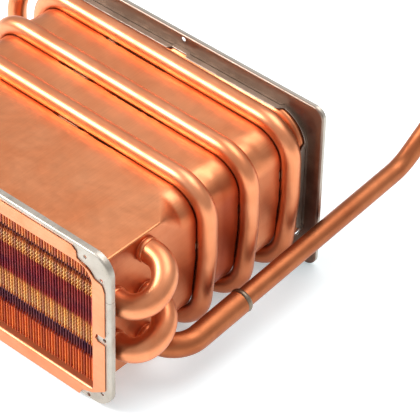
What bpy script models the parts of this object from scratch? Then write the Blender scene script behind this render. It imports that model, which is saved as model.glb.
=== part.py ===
"""Copper finned-tube heat exchanger of a gas water heater, lying on its back.

Fins and flue opening face -Y, the burner flange faces +Y, the tube bends and the outlet are at +X.
Sizes are in millimetres in the shell's own axes: X = 0 and Z = 0 are the middle of the shell, and
Y = 0 is the front face of the steel frame. The finished model is moved so that the middle of the
bottom of its box is at the origin, in metres.
"""

import math

import bmesh
import bpy
import numpy as np
from mathutils import Vector

MM = 0.001
GAP = 0.3  # air left between two pieces that touch

# Shell: a sheet copper duct with a turned-out flange at the flue end.
SHELL_HALF_WIDTH = 120.8
SHELL_HALF_HEIGHT = 55.0
SHELL_WALL = 1.0
SHELL_END = 217.0
FIN_BOX_CORNER = 1.5
FIN_BOX_DEPTH = 66.0  # the fins stand in this square-cornered stretch
BODY_START = 89.0  # from here on the corners are round
BODY_CORNER = 24.0
FLANGE_HALF_WIDTH = 131.0
FLANGE_TOP = 65.3
FLANGE_BOTTOM = -69.0
MOUTH_TOP = 53.9
MOUTH_BOTTOM = -53.9
MOUTH_CORNER = 13.0
FLANGE_Y = -0.7  # the middle of the flange's sheet
FLARE_Y = 212.5  # the last stretch is flared to fit the collar
FLANGE_SHEET = 0.8
# The flange's right edge, downwards: cut back at the screws, with a notch for the frame's tongue.
FLANGE_CORNER_TOP = [
    (101.0, FLANGE_TOP),
    (104.8, 62.6),
    (105.5, 57.0),
    (110.6, 54.6),
    (116.5, 52.6),
    (121.7, 47.8),
    (FLANGE_HALF_WIDTH - 2.2, 45.8),
    (FLANGE_HALF_WIDTH, 40.0),
]
FLANGE_NOTCH = [
    (FLANGE_HALF_WIDTH, -0.8),
    (123.4, -1.0),
    (122.2, -5.0),
    (125.0, -7.8),
    (FLANGE_HALF_WIDTH, -7.6),
]
FLANGE_CORNER_BOTTOM = [
    (FLANGE_HALF_WIDTH, -51.5),
    (119.3, -59.5),
    (108.8, -63.5),
    (106.2, FLANGE_BOTTOM),
]

# Coil: one tube wound three times round the shell, pressed into shallow grooves.
COIL_RADIUS = 7.5
COIL_STANDOFF = 4.0  # from the shell's face to the tube's centre
COIL_CORNER = 26.0
COIL_TURNS = (109.1, 153.8, 198.9)
COIL_UNDERSIDE = -63.0
COIL_LOW = -37.0  # each turn is straight down to here
GROOVE_SHOULDER = 7.7  # half the width of a groove at the shell's face
GROOVE_FLOOR = 3.6  # half the width of its bottom
FADE_HEIGHT = 9.0  # the grooves run out this far above the underside
RISER_FOOT = Vector((-132.0, 84.0, -12.0))
RISER_REACH = -154.0  # how far out the riser swings
RISER_RADIUS = 14.0  # of the bend into the fin tube
TUBE_WALL = 0.8

# Fins and the five tubes through them.
FIN_TUBE_RADIUS = 9.0
SOCKET_RADIUS = 10.3
SOCKET_DEPTH = 4.2  # beyond the shell's face
SOCKET_BOTTOM = 1.8  # a bend's tube starts this far from the shell's face
BEND_RADIUS = 9.2  # the return bends' own tube
BEND_STRAIGHT = 7.9
REAR_ROW_Y = 50.4
FRONT_ROW_Y = 18.0
ROW_PITCH = 40.4
REAR_ROW_Z = (41.9, 41.9 - ROW_PITCH, 41.9 - 2 * ROW_PITCH)
FRONT_ROW_Z = (17.5, 17.5 - ROW_PITCH)
FIN_BUNDLES = 14
FIN_THICKNESS = 1.9  # one bundle holds as much copper as six thin fins
FIN_FRONT = 1.0
FIN_BACK = 66.0

# Steel frame round the flue end, in two halves.
FRAME_HALF_WIDTH = 135.3
FRAME_HALF_HEIGHT = 69.1
FRAME_CORNER = 16.0
FRAME_DEPTH = 5.5
FRAME_WALL = 1.2
FRAME_SPLIT_Z = 32.0
FRAME_SCREW_RADIUS = 1.6
FRAME_SCREWS = ((112.5, 61.5), (127.4, 48.9), (130.2, -4.0), (127.6, -56.3), (114.5, -65.4))

# Steel collar and flange at the burner end.
COLLAR_HALF_WIDTH = 126.5
COLLAR_HALF_HEIGHT = 62.0
COLLAR_CORNER = 27.0
COLLAR_FRONT = 209.6
COLLAR_WALL = 0.9
BURNER_HALF_WIDTH = 138.5
BURNER_HALF_HEIGHT = 73.6
BURNER_CORNER = 9.0
BURNER_FACE = 217.0
BURNER_LIP = 4.0
BURNER_WALL = 1.0
BURNER_SCREW_RADIUS = 2.0
BURNER_SCREWS = ((5.0, 69.5), (5.0, -69.5))
COLLAR_CUT_BACK = 4.6  # at the corners
COLLAR_NOTCH = (-2.5, 13.0)  # from and to, along the top
COLLAR_NOTCH_DEPTH = 2.6

# Water pipes and their unions. Both pipes end in the same plane.
PIPE_RADIUS = 7.5
PORT_END = 405.0
PORT_Z = 40.0
INLET_X = -162.8
OUTLET_X = 160.2
INLET_JOINT = Vector((INLET_X, 209.7, -15.0))
INLET_BEND = 26.0
ELBOW_END = Vector((150.4, 117.1, -34.3))
ELBOW_BEND = 22.5
OUTLET_RUN = Vector((-0.01, 1.0, 0.07)).normalized()
OUTLET_KINK = Vector((148.5, 302.0, -21.4))
KINK_BEND = 26.0
RISE_BEND = 40.0
OUTLET_RISE = Vector((OUTLET_X, 357.8, PORT_Z))
SLEEVE_LENGTH = 16.0
SLEEVE_WALL = 1.0
RING_LENGTH = 4.6
INSERTION = 10.0  # how far the outlet pipe goes into the elbow
COLLAR_LENGTH = 3.2
SEAL_THICKNESS = 2.0
SEAL_BORE = 5.5
NUT_FLATS = 24.0
NUT_LENGTH = 18.0
NUT_BORE = 7.9
NUT_CAVITY = 9.5
NUT_SHOULDER = 4.8
NUT_BACK = 9.0  # how far the nut starts behind the pipe's end

COPPER = (0.72, 0.30, 0.14)
BRIGHT_COPPER = (0.82, 0.42, 0.24)
STEEL = (0.55, 0.52, 0.47)
DARK_STEEL = (0.30, 0.25, 0.21)
BRASS = (0.72, 0.55, 0.24)
SOLDER = (0.58, 0.56, 0.52)
FIBRE = (0.10, 0.11, 0.10)


# ---------------------------------------------------------------- scene, collections, materials

def clear_scene():
    for obj in list(bpy.data.objects):
        bpy.data.objects.remove(obj, do_unlink=True)


def new_collection(name):
    collection = bpy.data.collections.new(name)
    bpy.context.scene.collection.children.link(collection)
    return collection


def material(name, colour, metallic, roughness):
    found = bpy.data.materials.get(name)
    if found:
        return found
    made = bpy.data.materials.new(name)
    made.use_nodes = True
    shader = made.node_tree.nodes["Principled BSDF"]
    shader.inputs["Base Color"].default_value = (*colour, 1.0)
    shader.inputs["Metallic"].default_value = metallic
    shader.inputs["Roughness"].default_value = roughness
    return made


def copper():
    return material("copper", COPPER, 1.0, 0.35)


def bright_copper():
    return material("bright_copper", BRIGHT_COPPER, 1.0, 0.3)


def steel():
    return material("zinc_plated_steel", STEEL, 0.9, 0.45)


def dark_steel():
    return material("heated_steel", DARK_STEEL, 0.8, 0.5)


def brass():
    return material("brass", BRASS, 1.0, 0.3)


def solder():
    return material("silver_solder", SOLDER, 1.0, 0.4)


def fibre():
    return material("fibre", FIBRE, 0.0, 0.8)


def add_object(name, mesh, finish, collection):
    obj = bpy.data.objects.new(name, mesh)
    collection.objects.link(obj)
    mesh.materials.clear()
    mesh.materials.append(finish)
    mesh.shade_smooth()
    mesh.set_sharp_from_angle(angle=math.radians(35))
    return obj


def as_cutter(obj):
    obj.hide_render = True
    obj.display_type = "WIRE"
    return obj


# ---------------------------------------------------------------- shapes

def rounded_outline(half_width, low, high, radius, arc=4):
    """Points (x, z) round a rectangle with round corners, with one more in the middle of each side."""
    centres = (
        (half_width - radius, high - radius, 0),
        (-half_width + radius, high - radius, 90),
        (-half_width + radius, low + radius, 180),
        (half_width - radius, low + radius, 270),
    )
    middles = ((0, high), (-half_width, (low + high) / 2), (0, low), (half_width, (low + high) / 2))
    points = []
    for (x, z, start), middle in zip(centres, middles):
        for step in range(arc + 1):
            angle = math.radians(start + 90 * step / arc)
            points.append((x + radius * math.cos(angle), z + radius * math.sin(angle)))
        points.append(middle)
    return points


def sheet_through_rings(name, rings, wall, finish, collection):
    """A thin-walled piece: an open skin through rings of points, thickened inwards."""
    mesh = bpy.data.meshes.new(name)
    shape = bmesh.new()
    rows = [[shape.verts.new(Vector(point) * MM) for point in ring] for ring in rings]
    for near, far in zip(rows, rows[1:]):
        count = len(near)
        for i in range(count):
            shape.faces.new((near[i], far[i], far[(i + 1) % count], near[(i + 1) % count]))
    shape.to_mesh(mesh)
    shape.free()
    obj = add_object(name, mesh, finish, collection)
    thicken(obj, wall)
    return obj


def thicken(obj, wall):
    solidify = obj.modifiers.new("wall", "SOLIDIFY")
    solidify.thickness = wall * MM
    solidify.offset = -1
    solidify.use_even_offset = True


def rod(name, start, end, radius, finish, collection, sides=16):
    """A cylinder between two points."""
    start = Vector(start)
    end = Vector(end)
    mesh = bpy.data.meshes.new(name)
    shape = bmesh.new()
    bmesh.ops.create_cone(
        shape,
        cap_ends=True,
        segments=sides,
        radius1=radius * MM,
        radius2=radius * MM,
        depth=(end - start).length * MM,
    )
    shape.to_mesh(mesh)
    shape.free()
    obj = add_object(name, mesh, finish, collection)
    obj.location = (start + end) / 2 * MM
    obj.rotation_euler = (end - start).to_track_quat("Z", "Y").to_euler()
    return obj


def box(name, low, high, finish, collection):
    low = Vector(low)
    high = Vector(high)
    mesh = bpy.data.meshes.new(name)
    shape = bmesh.new()
    bmesh.ops.create_cube(shape, size=1.0)
    bmesh.ops.scale(shape, vec=(high - low) * MM, verts=shape.verts)
    bmesh.ops.translate(shape, vec=(low + high) / 2 * MM, verts=shape.verts)
    shape.to_mesh(mesh)
    shape.free()
    return add_object(name, mesh, finish, collection)


def boolean(obj, other, operation="DIFFERENCE"):
    cut = obj.modifiers.new(other.name, "BOOLEAN")
    cut.operation = operation
    cut.object = other
    cut.solver = "EXACT"


def turned(name, profile, start, direction, finish, collection, steps=20):
    """A turned ring or sleeve. profile holds (radius, distance along the axis), outer side first."""
    mesh = bpy.data.meshes.new(name)
    shape = bmesh.new()
    verts = [shape.verts.new((radius * MM, 0, along * MM)) for radius, along in profile]
    for near, far in zip(verts, verts[1:] + verts[:1]):
        shape.edges.new((near, far))
    shape.to_mesh(mesh)
    shape.free()
    obj = add_object(name, mesh, finish, collection)
    screw = obj.modifiers.new("turn", "SCREW")
    screw.steps = steps
    screw.render_steps = steps
    screw.use_merge_vertices = True
    screw.merge_threshold = 0.00001
    obj.location = Vector(start) * MM
    obj.rotation_euler = Vector(direction).to_track_quat("Z", "Y").to_euler()
    return obj


def ring_profile(outer, inner, length):
    """Runs down the outer side, top to bottom, and back up the bore."""
    return [(outer, length), (outer, 0), (inner, 0), (inner, length)]


def rounded_route(corners, arc=5):
    """The points of a pipe's centre line. Each corner is (point, bend radius)."""
    points = [Vector(corners[0][0])]
    for (before, _), (here, radius), (after, _) in zip(corners, corners[1:], corners[2:]):
        here = Vector(here)
        back = (Vector(before) - here).normalized()
        ahead = (Vector(after) - here).normalized()
        turn = math.pi - back.angle(ahead)
        tangent = radius * math.tan(turn / 2)
        middle = (back + ahead).normalized()
        centre = here + middle * (radius / math.cos(turn / 2))
        first = here + back * tangent - centre
        last = here + ahead * tangent - centre
        for step in range(arc + 1):
            share = step / arc
            spoke = first * math.sin((1 - share) * turn) + last * math.sin(share * turn)
            points.append(centre + spoke / math.sin(turn))
    points.append(Vector(corners[-1][0]))
    return points


def half_turn(first, second, reach, arc=8):
    """A return bend's centre line between two tube ends on one side wall."""
    first = Vector(first)
    second = Vector(second)
    out = Vector((math.copysign(1, first.x), 0, 0))
    middle = (first + second) / 2 + out * reach
    spoke = (first - second) / 2
    radius = spoke.length
    points = [first]
    for step in range(arc + 1):
        angle = math.pi * step / arc
        points.append(middle + spoke * math.cos(angle) + out * radius * math.sin(angle))
    points.append(second)
    return points


def pipe(name, points, radius, finish, collection, sides=12, swage=None):
    """A hollow pipe along points. swage maps a point's number to its own radius."""
    curve = bpy.data.curves.new(name, "CURVE")
    curve.dimensions = "3D"
    curve.bevel_depth = radius * MM
    curve.bevel_resolution = sides // 2 - 2
    spline = curve.splines.new("POLY")
    spline.points.add(len(points) - 1)
    for number, point in enumerate(points):
        spline.points[number].co = (*(Vector(point) * MM), 1)
        spline.points[number].radius = (swage or {}).get(number, radius) / radius
    guide = bpy.data.objects.new(name + "_line", curve)
    collection.objects.link(guide)
    bpy.context.view_layer.update()
    graph = bpy.context.evaluated_depsgraph_get()
    mesh = bpy.data.meshes.new_from_object(guide.evaluated_get(graph))
    mesh.name = name
    bpy.data.objects.remove(guide)
    obj = add_object(name, mesh, finish, collection)
    thicken(obj, TUBE_WALL)
    return obj


# ---------------------------------------------------------------- the coil's path

def coil_drift(x, z):
    """How far a turn wanders along Y where its centre line passes (x, z)."""
    across = SHELL_HALF_WIDTH + COIL_STANDOFF - COIL_CORNER
    top = SHELL_HALF_HEIGHT + COIL_STANDOFF
    heights = (COIL_UNDERSIDE, COIL_LOW, 0.0, top - COIL_CORNER, top)
    right = (-5.0, -3.0, 1.2, 0.4, -1.6)
    left = (5.0, 3.4, 2.0, 1.8, 1.7)
    if z > top - 1.0:
        return float(np.interp(x, (-across, across), (left[-1], right[-1])))
    return float(np.interp(z, heights, right if x > 0 else left))


def turn_over_the_top(centre):
    """One turn's path up the -X side, over the top and down the +X side."""
    half_width = SHELL_HALF_WIDTH + COIL_STANDOFF
    top = SHELL_HALF_HEIGHT + COIL_STANDOFF
    side = top - COIL_CORNER
    across = half_width - COIL_CORNER
    path = [(-half_width, COIL_LOW), (-half_width, 0.0)]
    for step in range(7):
        angle = math.radians(180 - 90 * step / 6)
        path.append((-across + COIL_CORNER * math.cos(angle), side + COIL_CORNER * math.sin(angle)))
    path.append((0.0, top))
    for step in range(7):
        angle = math.radians(90 - 90 * step / 6)
        path.append((across + COIL_CORNER * math.cos(angle), side + COIL_CORNER * math.sin(angle)))
    path += [(half_width, 0.0), (half_width, COIL_LOW)]
    return [Vector((x, centre + coil_drift(x, z), z)) for x, z in path]


def pass_underneath(start, end):
    """From low on the +X side, under the shell, to low on the -X side of the next turn."""
    floor = COIL_UNDERSIDE
    right = Vector((start.x, start.y - 2.0, floor))
    left = Vector((end.x, end.y + 2.0, floor))
    return rounded_route([(start, 0), (right, COIL_CORNER), (left, COIL_CORNER), (end, 0)])[1:-1]


def coil_route():
    """The whole coil, from the inlet's sleeve to the foot of the riser."""
    turns = [turn_over_the_top(centre) for centre in reversed(COIL_TURNS)]
    first = turns[0][0]
    reach = (INLET_X - first.x) / 2
    turn_z = -BURNER_HALF_HEIGHT + COIL_RADIUS - reach + GAP
    bottom = [Vector((INLET_X, INLET_JOINT.y, turn_z)), Vector((first.x, first.y, turn_z))]
    middle = (bottom[0] + bottom[1]) / 2
    points = [INLET_JOINT]
    for step in range(9):
        angle = math.pi * step / 8
        spoke = (bottom[0] - bottom[1]) / 2
        points.append(middle + spoke * math.cos(angle) + Vector((0, 0, reach * math.sin(angle))))
    for turn, following in zip(turns, turns[1:]):
        points += turn
        points += pass_underneath(turn[-1], following[0])
    foot = Vector((RISER_FOOT.x, RISER_FOOT.y, -30.0))
    points += turns[-1]
    points += pass_underneath(turns[-1][-1], foot)
    points.append(RISER_FOOT)
    return points


# ---------------------------------------------------------------- sub-parts

def shell_ring(y, half_width, half_height, radius, sink=0.0, slope=0.0):
    """One ring of the duct. sink presses it in for a coil groove, slope lets it follow the coil."""
    ring = []
    plain = rounded_outline(half_width, -half_height, half_height, radius)
    sunk = rounded_outline(
        half_width - sink, -half_height, half_height - sink, COIL_CORNER - COIL_RADIUS - GAP
    )
    for (x, z), (sunk_x, sunk_z) in zip(plain, sunk):
        share = min(1.0, (z + half_height) / FADE_HEIGHT) if sink else 0.0
        on_coil_z = z + COIL_STANDOFF if z > 0 else z
        drift = coil_drift(x, on_coil_z) if z > 1.0 - half_height else 0.0
        ring.append((x + (sunk_x - x) * share, y + slope * drift, z + (sunk_z - z) * share))
    return ring


def make_shell(collection, cutters):
    width = SHELL_HALF_WIDTH
    height = SHELL_HALF_HEIGHT
    rings = [
        shell_ring(FLANGE_Y, width, height, FIN_BOX_CORNER),
        shell_ring(FIN_BOX_DEPTH, width, height, FIN_BOX_CORNER),
        shell_ring(BODY_START, width, height, BODY_CORNER, slope=0.5),
    ]
    groove = COIL_RADIUS + GAP - COIL_STANDOFF + 0.1
    for centre in COIL_TURNS:
        for shoulder, floor in ((-GROOVE_SHOULDER, -GROOVE_FLOOR), (GROOVE_SHOULDER, GROOVE_FLOOR)):
            edge = shell_ring(centre + shoulder, width, height, BODY_CORNER, slope=1.0)
            bottom = shell_ring(centre + floor, width, height, BODY_CORNER, groove, 1.0)
            rings += [edge, bottom] if shoulder < 0 else [bottom, edge]
    inside = COLLAR_WALL + GAP + 0.2
    flared = (COLLAR_HALF_WIDTH - inside, COLLAR_HALF_HEIGHT - inside, COLLAR_CORNER)
    rings.append(shell_ring(FLARE_Y, *flared))
    rings.append(shell_ring(SHELL_END, *flared))
    shell = sheet_through_rings("shell", rings, SHELL_WALL, copper(), collection)
    boolean(shell, flue_flange(cutters), "UNION")
    for row, (y, z) in enumerate(tube_places()):
        for side in (-1, 1):
            hole = rod(
                f"tube_hole_{row}_{side}",
                (side * (width - 6), y, z),
                (side * (width + 6), y, z),
                FIN_TUBE_RADIUS + GAP,
                copper(),
                cutters,
            )
            boolean(shell, as_cutter(hole))
    return shell


def flue_flange(cutters):
    """The flange turned out round the flue opening, with its corners cut back from the screws."""
    curve = bpy.data.curves.new("flue_flange", "CURVE")
    curve.dimensions = "2D"
    curve.fill_mode = "BOTH"
    curve.extrude = FLANGE_SHEET / 2 * MM
    right = FLANGE_CORNER_TOP + FLANGE_NOTCH + FLANGE_CORNER_BOTTOM
    outline = right + [(-x, z) for x, z in right[::-1]]
    mouth = rounded_outline(SHELL_HALF_WIDTH - SHELL_WALL, MOUTH_BOTTOM, MOUTH_TOP, MOUTH_CORNER, arc=3)
    for points in (outline, mouth):
        spline = curve.splines.new("POLY")
        spline.points.add(len(points) - 1)
        spline.use_cyclic_u = True
        for number, (x, z) in enumerate(points):
            spline.points[number].co = (x * MM, z * MM, 0, 1)
    guide = bpy.data.objects.new("flue_flange_outline", curve)
    cutters.objects.link(guide)
    guide.rotation_euler = (math.pi / 2, 0, 0)
    guide.location = (0, FLANGE_Y * MM, 0)
    bpy.context.view_layer.update()
    graph = bpy.context.evaluated_depsgraph_get()
    mesh = bpy.data.meshes.new_from_object(guide.evaluated_get(graph))
    place = guide.matrix_world.copy()
    bpy.data.objects.remove(guide)
    shape = bmesh.new()
    shape.from_mesh(mesh)
    bmesh.ops.remove_doubles(shape, verts=shape.verts, dist=0.00001)
    bmesh.ops.recalc_face_normals(shape, faces=shape.faces)
    shape.to_mesh(mesh)
    shape.free()
    flange = add_object("flue_flange", mesh, copper(), cutters)
    flange.matrix_world = place
    return as_cutter(flange)


def tube_places():
    """(y, z) of the five fin tubes: the rear row from the top, then the front row."""
    return [(REAR_ROW_Y, z) for z in REAR_ROW_Z] + [(FRONT_ROW_Y, z) for z in FRONT_ROW_Z]


def make_fin_tube(number, y, z, collection):
    """A straight tube with a bell socket outside each wall."""
    wall = SHELL_HALF_WIDTH
    end = wall + SOCKET_DEPTH
    outside = [(SOCKET_RADIUS, end), (SOCKET_RADIUS, wall + 1.2), (FIN_TUBE_RADIUS, wall + GAP)]
    inside = [
        (SOCKET_RADIUS - TUBE_WALL, end),
        (SOCKET_RADIUS - TUBE_WALL, wall + 1.4),
        (FIN_TUBE_RADIUS - TUBE_WALL, wall),
    ]
    profile = outside + [(radius, -along) for radius, along in outside[::-1]]
    profile += [(radius, -along) for radius, along in inside] + inside[::-1]
    return turned(f"fin_tube_{number}", profile, (0, y, z), (1, 0, 0), copper(), collection, steps=16)


def make_fin_pack(collection, cutters):
    """Fin bundles joined by the collars that stand round each tube."""
    reach = SHELL_HALF_WIDTH - SHELL_WALL - 3.0
    height = SHELL_HALF_HEIGHT - SHELL_WALL - 0.4
    mesh = bpy.data.meshes.new("fin_pack")
    shape = bmesh.new()
    for number in range(FIN_BUNDLES):
        x = -reach + 2 * reach * number / (FIN_BUNDLES - 1)
        made = bmesh.ops.create_cube(shape, size=1.0)["verts"]
        size = Vector((FIN_THICKNESS, FIN_BACK - FIN_FRONT, 2 * height)) * MM
        bmesh.ops.scale(shape, vec=size, verts=made)
        middle = Vector((x, (FIN_FRONT + FIN_BACK) / 2, 0)) * MM
        bmesh.ops.translate(shape, vec=middle, verts=made)
    shape.to_mesh(mesh)
    shape.free()
    pack = add_object("fin_pack", mesh, bright_copper(), collection)
    for number, (y, z) in enumerate(tube_places()):
        sleeve = rod(
            f"fin_collar_{number}",
            (-reach - 0.4, y, z),
            (reach + 0.4, y, z),
            FIN_TUBE_RADIUS + 1.4,
            bright_copper(),
            cutters,
            sides=8,
        )
        boolean(pack, as_cutter(sleeve), "UNION")
    for number, (y, z) in enumerate(tube_places()):
        hole = rod(
            f"fin_hole_{number}",
            (-reach - 5, y, z),
            (reach + 5, y, z),
            FIN_TUBE_RADIUS + GAP + 0.1,
            bright_copper(),
            cutters,
        )
        boolean(pack, as_cutter(hole))
    return pack


def make_return_bend(name, side, first, second, collection):
    """A U of tube between two fin tubes' sockets."""
    x = side * (SHELL_HALF_WIDTH + SOCKET_BOTTOM)
    points = half_turn((x, *first), (x, *second), BEND_STRAIGHT - SOCKET_BOTTOM)
    return pipe(name, points, BEND_RADIUS, copper(), collection)


def make_frame(collection, cutters):
    """The pressed steel frame behind the flue flange, cut in two at its side seams."""
    inner = (SHELL_HALF_WIDTH + 0.8, -SHELL_HALF_HEIGHT - 0.8, SHELL_HALF_HEIGHT + 0.8, 2.0)
    outer = (FRAME_HALF_WIDTH, -FRAME_HALF_HEIGHT, FRAME_HALF_HEIGHT, FRAME_CORNER)
    split = {
        "upper": (FRAME_SPLIT_Z + GAP / 2, 100.0),
        "lower": (-100.0, FRAME_SPLIT_Z - GAP / 2),
    }
    for name, (low, high) in split.items():
        rings = [
            [(x, 0.0, z) for x, z in rounded_outline(*inner)],
            [(x, 0.0, z) for x, z in rounded_outline(*outer)],
            [(x, FRAME_DEPTH, z) for x, z in rounded_outline(*outer)],
        ]
        frame = sheet_through_rings(f"frame_{name}", rings, FRAME_WALL, steel(), collection)
        keep = box(f"frame_keep_{name}", (-150, -5, low), (150, 12, high), steel(), cutters)
        boolean(frame, as_cutter(keep), "INTERSECT")
        for number, (x, z) in enumerate(FRAME_SCREWS):
            for side in (-1, 1):
                if low < z < high:
                    drill = rod(
                        f"frame_hole_{name}_{number}_{side}",
                        (side * x, -3, z),
                        (side * x, 4, z),
                        FRAME_SCREW_RADIUS,
                        steel(),
                        cutters,
                        sides=10,
                    )
                    boolean(frame, as_cutter(drill))


def make_burner_collar(collection, cutters):
    """The band round the shell's burner end, cut back at its corners."""
    outline = rounded_outline(COLLAR_HALF_WIDTH, -COLLAR_HALF_HEIGHT, COLLAR_HALF_HEIGHT, COLLAR_CORNER, arc=6)
    front = []
    for x, z in outline:
        across = (abs(x) - COLLAR_HALF_WIDTH + COLLAR_CORNER) / COLLAR_CORNER
        up = (abs(z) - COLLAR_HALF_HEIGHT + COLLAR_CORNER) / COLLAR_CORNER
        cut = 1.0 if across > 0.2 and up > 0.2 else 0.0
        front.append((x, COLLAR_FRONT + COLLAR_CUT_BACK * cut, z))
    back = [(x, BURNER_FACE + 1.6, z) for x, z in outline]
    collar = sheet_through_rings("burner_collar", [front, back], COLLAR_WALL, dark_steel(), collection)
    notch = box(
        "collar_notch",
        (COLLAR_NOTCH[0], COLLAR_FRONT - 4, COLLAR_HALF_HEIGHT - 4),
        (COLLAR_NOTCH[1], COLLAR_FRONT + COLLAR_NOTCH_DEPTH, COLLAR_HALF_HEIGHT + 4),
        dark_steel(),
        cutters,
    )
    boolean(collar, as_cutter(notch))


def make_burner_flange(collection, cutters):
    """The flat flange that bolts to the burner box, with a lip turned back all round."""
    inner = (COLLAR_HALF_WIDTH + GAP, -COLLAR_HALF_HEIGHT - GAP, COLLAR_HALF_HEIGHT + GAP, COLLAR_CORNER)
    outer = (BURNER_HALF_WIDTH, -BURNER_HALF_HEIGHT, BURNER_HALF_HEIGHT, BURNER_CORNER)
    rings = [
        [(x, BURNER_FACE - BURNER_WALL, z) for x, z in rounded_outline(*inner, arc=6)],
        [(x, BURNER_FACE - BURNER_WALL, z) for x, z in rounded_outline(*outer, arc=6)],
        [(x, BURNER_FACE - BURNER_WALL + BURNER_LIP, z) for x, z in rounded_outline(*outer, arc=6)],
    ]
    flange = sheet_through_rings("burner_flange", rings, BURNER_WALL, dark_steel(), collection)
    for number, (x, z) in enumerate(BURNER_SCREWS):
        hole = rod(
            f"flange_hole_{number}",
            (x, BURNER_FACE - 6, z),
            (x, BURNER_FACE + 6, z),
            BURNER_SCREW_RADIUS,
            dark_steel(),
            cutters,
            sides=10,
        )
        boolean(flange, as_cutter(hole))


def make_coil(collection):
    pipe("wrap_coil", coil_route(), COIL_RADIUS, copper(), collection, sides=8)


def make_riser(collection):
    """From the coil up the -X side and over into the top fin tube's socket."""
    y, z = tube_places()[0]
    socket = Vector((-SHELL_HALF_WIDTH - SOCKET_BOTTOM, y, z))
    points = rounded_route(
        [
            (RISER_FOOT + Vector((0, 0, 1.0)), 0),
            (Vector((RISER_FOOT.x, RISER_FOOT.y, 20.0)), 20.0),
            (Vector((RISER_REACH, y, z)), RISER_RADIUS),
            (socket, 0),
        ]
    )
    swaged = socket - Vector((4.0, 0, 0))
    points.insert(len(points) - 1, swaged)
    last = len(points) - 1
    pipe(
        "coil_riser", points, PIPE_RADIUS, copper(), collection, sides=10,
        swage={last: BEND_RADIUS, last - 1: BEND_RADIUS},
    )
    sleeve("riser_sleeve", RISER_FOOT + Vector((0, 0, 0.5)), (0, 0, 1), collection)


def sleeve(name, middle, direction, collection):
    """A short sleeve brazed over two butted pipe ends."""
    start = Vector(middle) - Vector(direction) * SLEEVE_LENGTH / 2
    profile = ring_profile(PIPE_RADIUS + GAP + SLEEVE_WALL, PIPE_RADIUS + GAP, SLEEVE_LENGTH)
    return turned(name, profile, start, direction, copper(), collection)


def make_inlet(collection, cutters):
    corners = [
        (INLET_JOINT + Vector((0, 0, 1.0)), 0),
        (Vector((INLET_X, INLET_JOINT.y, PORT_Z)), INLET_BEND),
        (Vector((INLET_X, PORT_END, PORT_Z)), 0),
    ]
    pipe("inlet_pipe", rounded_route(corners), PIPE_RADIUS, copper(), collection)
    sleeve("inlet_sleeve", INLET_JOINT + Vector((0, 0, 0.5)), (0, 0, 1), collection)
    make_union("inlet", INLET_X, collection, cutters)


def make_outlet(collection, cutters):
    """An elbow in the fin tube's size, then a thinner pipe brazed into it."""
    y, z = tube_places()[2]
    socket = Vector((SHELL_HALF_WIDTH + SOCKET_BOTTOM, y, z))
    corner = ELBOW_END - OUTLET_RUN * ((ELBOW_END.y - y) / OUTLET_RUN.y)
    corner.z = z
    elbow = rounded_route([(socket, 0), (corner, ELBOW_BEND), (ELBOW_END, 0)], arc=7)
    pipe("outlet_elbow", elbow, BEND_RADIUS, copper(), collection)
    turned(
        "outlet_braze_ring",
        ring_profile(BEND_RADIUS + 0.5, PIPE_RADIUS + GAP, RING_LENGTH),
        ELBOW_END + OUTLET_RUN * GAP,
        OUTLET_RUN,
        solder(),
        collection,
    )
    corners = [
        (ELBOW_END - OUTLET_RUN * INSERTION, 0),
        (OUTLET_KINK, KINK_BEND),
        (OUTLET_RISE, RISE_BEND),
        (Vector((OUTLET_X, PORT_END, PORT_Z)), 0),
    ]
    pipe("outlet_pipe", rounded_route(corners), PIPE_RADIUS, copper(), collection)
    make_union("outlet", OUTLET_X, collection, cutters)


def make_union(name, x, collection, cutters):
    """A collar brazed on the pipe's end, a flat seal in front of it, and a nut that turns freely."""
    along = (0, 1, 0)
    outer = NUT_CAVITY - 0.5
    turned(
        f"{name}_collar",
        ring_profile(outer, PIPE_RADIUS + GAP, COLLAR_LENGTH),
        (x, PORT_END - COLLAR_LENGTH - 0.2, PORT_Z),
        along,
        brass(),
        collection,
    )
    turned(
        f"{name}_seal",
        ring_profile(outer, SEAL_BORE, SEAL_THICKNESS),
        (x, PORT_END + GAP, PORT_Z),
        along,
        fibre(),
        collection,
    )
    make_nut(f"{name}_nut", x, collection, cutters)


def make_nut(name, x, collection, cutters):
    """A six-sided nut: a narrow bore through its shoulder, then the wide bore that holds the thread."""
    back = PORT_END - NUT_BACK
    front = back + NUT_LENGTH
    corner_radius = NUT_FLATS / 2 / math.cos(math.radians(30))
    nut = rod(name, (x, back, PORT_Z), (x, front, PORT_Z), corner_radius, brass(), collection, sides=6)
    for label, radius, start in (("bore", NUT_BORE, back - 2), ("thread", NUT_CAVITY, back + NUT_SHOULDER)):
        drill = rod(
            f"{name}_{label}",
            (x, start, PORT_Z),
            (x, front + 2, PORT_Z),
            radius,
            brass(),
            cutters,
            sides=24,
        )
        boolean(nut, as_cutter(drill))


# ---------------------------------------------------------------- assembly

def stand_on_origin(collection):
    """Moves every piece so that the middle of the bottom of the whole model's box is at the origin."""
    bpy.context.view_layer.update()
    graph = bpy.context.evaluated_depsgraph_get()
    low = Vector((1e9, 1e9, 1e9))
    high = -low
    for obj in collection.objects:
        evaluated = obj.evaluated_get(graph)
        mesh = evaluated.to_mesh()
        for vertex in mesh.vertices:
            point = evaluated.matrix_world @ vertex.co
            low = Vector(map(min, low, point))
            high = Vector(map(max, high, point))
        evaluated.to_mesh_clear()
    shift = Vector((-(low.x + high.x) / 2, -(low.y + high.y) / 2, -low.z))
    for obj in bpy.data.objects:
        obj.location += shift
    print("shift in mm", [round(value / MM, 3) for value in shift])
    print("size in mm", [round(value / MM, 2) for value in high - low])


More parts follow.
